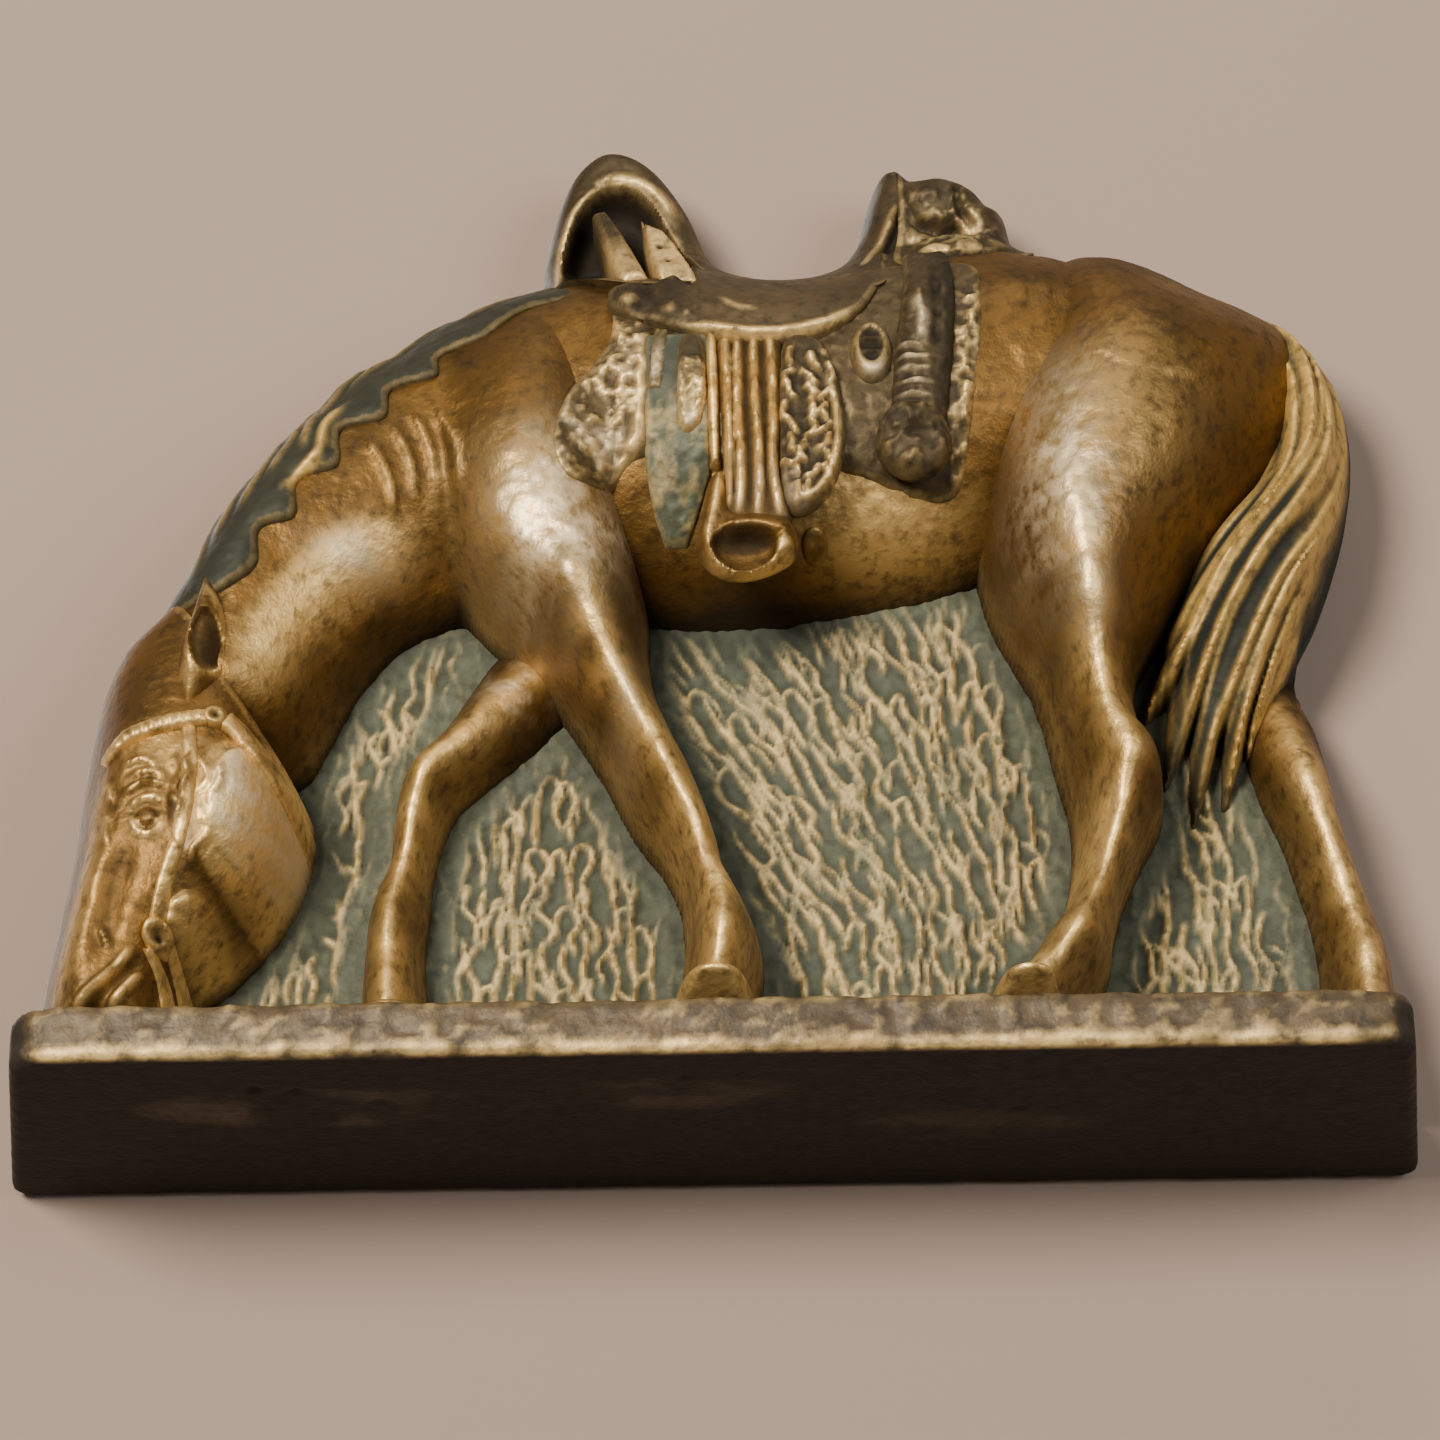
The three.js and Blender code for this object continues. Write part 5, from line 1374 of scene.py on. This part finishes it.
gearPiece("castTassel", ["tie_tassel"], loopThrough([[-2.4, 87], [-2.9, 83], [-3, 79], [-2.5, 76], [-1.2, 76],
                                                     [0, 78], [0.3, 82],
                                                     [-0.2, 87]]), 1.6, gearBronze, 0.8,
          lambda x, z: 0.5 * knobs(x, z, 0.9, 99) * (z < 84), painted(
              lambda x, z: (0.2 + 0.8 * np.clip(0.5 + rough(x, z, 0.9, 99), 0, 1)) * (z < 83.4), lambda x,
              z: 0.5 * (z > 83.6),
              lambda x, z: 0.5 * spot(x, z, -1, 76.8, 1.6, 0.8)), cell=0.22)
gearPiece("castFrontStrap", ["front_strap"], bandOutline([[-4.5, 88.6, 0.7], [-4.8, 86, 0.9],
                                                          [-5.3, 80.8, 0.8]]), 0.9, gearBronze, 0.8,
          lambda x, z: 0.4 * np.clip(rough(x, z, 1.1, 100), 0, 1), painted(
              lambda x, z: 0.4 * np.clip(rough(x, z, 1.1, 100), 0, 1), lambda x, z: 0.25,
              lambda x, z: 0.6 * spot(x, z, -5.2, 84, 1.2, 2.4)), cell=0.22)


# The stirrup is a hooded cup: two side bars, a lip over a dark mouth, and a bright rounded foot.
stirrupEdge = loopThrough([[2.3, 70.4], [0.5, 70.2], [-0.7, 65.4], [-0.9, 61.4], [0.8, 59.3], [3.4, 58.5],
                           [6.4, 59.1],
                           [9, 60.6], [9.7, 62.6], [8.8, 65], [5.6, 65.9], [2.8, 66.2]])


def stirrupDetail(x, z):
    mouth = dome(x, z, 4, 61.4, 3.5, 2.6, 3)
    hood = stroke(x, z, [[2.2, 63.6], [5.4, 63.8], [8.8, 63]], 0.8)
    bars = stroke(x, z, [[1.6, 69.6], [1, 66.4], [0.2, 62.3], [0.8, 59.8]], 0.6)
    foot = stroke(x, z, [[0.2, 60.6], [1.6, 58.9], [3.6, 58.3], [6.1, 59.1], [8.4, 60.4]], 0.6)
    return 0.9 * hood + 0.5 * bars + 0.4 * foot - 2.2 * mouth * (1 - hood) + 0.6 * dome(x, z, 8.3, 61.2, 1,
            1.5)


gearPiece("castStirrup", ["stirrup"], stirrupEdge, 2.6, hideBronze, 1.4, stirrupDetail, painted(
    lambda x, z: 0.95 * stroke(x, z, [[0.2, 60.6], [1.6, 58.7], [3.6, 58], [6.1, 58.8], [8.6, 60.2]], 0.8)
    + 0.8 * stroke(x, z, [[1.6, 69.6], [1, 66.4], [0, 62.3]], 0.5) + 0.6 * dome(x, z, 8.3, 61.2, 1, 1.5),
    lambda x, z: 0.7 * dome(x, z, 4, 62.4, 3.4, 1.4, 3) + 0.25 * dome(x, z, 4, 61.2, 3.4, 2.6, 3),
    # The stirrup's walls below this level are painted dark as shade.
    shadeBelow=25.4), below=bodyHeight, cell=0.22, hang=25.6)
gearPiece("castConcho", ["stirrup_concho"], ovalOutline(11.7, 66.2, 1.5, 1.5), 1.1, hideBronze, 1.1,
          lambda x, z: -0.3 * spot(x, z, 11.7, 66.2, 0.5), painted(
              lambda x, z: 0.35 * spot(x, z, 11.5, 66.5, 1.2), lambda x,
              z: 0.35 * (1 - spot(x, z, 11.7, 66.2, 1.3))),
          below=bodyHeight, cell=0.2)


print("bridle")


def onHead(x, z):
    return headHeight(x, z) - 0.1


browLine = [[-62.6, 38.4], [-60.6, 39.8], [-58.1, 40.7], [-54, 41.7], [-51, 42.2]]
throatLine = [[-50, 42.4], [-48.2, 41], [-45.6, 38.4], [-43, 35.4], [-41, 32.4], [-40.2, 30.6]]
cheekLine = [[-53.4, 41.2], [-53, 36], [-53.4, 31.2], [-54.2, 27.8], [-55.3, 24.1], [-56.1, 20.6]]


def strap(name, node, line, width, rise, glow, ribs=0.0, below=onHead):
    band = [p + [width] for p in line]
    gearPiece(name, [node], bandOutline(band), rise, hideBronze, width * 0.95,
              lambda x, z: ribs * np.clip(np.sin((x + z * 0.3) * 2 * math.pi / 1.05), 0, 1), painted(
                  lambda x, z: glow + 0.3 * rough(x, z, 1.6, 101)), below=below, cell=0.2)


def faceOrNeck(x, z):
    return smoothMax(headHeight(x, z), foreBodyHeight(x, z) - 0.3, 1.5) - 0.1


strap("castBrowband", "browband", browLine, 1.05, 1.2, 0.7, ribs=0.22)
strap("castThroatlatch", "throatlatch", throatLine, 1.25, 1.4, 0.8, below=faceOrNeck)
strap("castCheekpiece", "cheekpiece", cheekLine, 0.85, 0.7, 0.6)
strap("castReinNear", "rein_near", [[-55.2, 19], [-54.4, 15.5], [-53.7, 10], [-53.4, slabTop + 0.4]], 0.6,
      1.1, 0.85)
strap("castReinOff", "rein_off", [[-57, 18], [-55.8, 15.2], [-55.2, 10], [-55, slabTop + 0.4]], 0.6, 1.1,
      0.85)
gearPiece("castBit", ["bit"], ovalOutline(-56.1, 19.2, 1.5, 1.7), 1.6, hideBronze, 0.8,
          lambda x, z: -1.3 * spot(x, z, -56.1, 19, 0.6), painted(
              lambda x, z: 0.8, lambda x, z: 0.9 * spot(x, z, -56.1, 19, 0.55)), below=onHead, cell=0.18)
gearPiece("castBrowConcho", ["brow_concho"], ovalOutline(-50.7, 42.2, 1.35, 1.35), 1.8, hideBronze, 0.9,
          lambda x, z: -0.9 * spot(x, z, -50.7, 42.2, 0.6), painted(
              lambda x, z: 0.4, lambda x, z: 0.7 * spot(x, z, -50.7, 42.2, 0.6)), below=faceOrNeck, cell=0.18)

print("wear")
wearAndShadeFromShape()
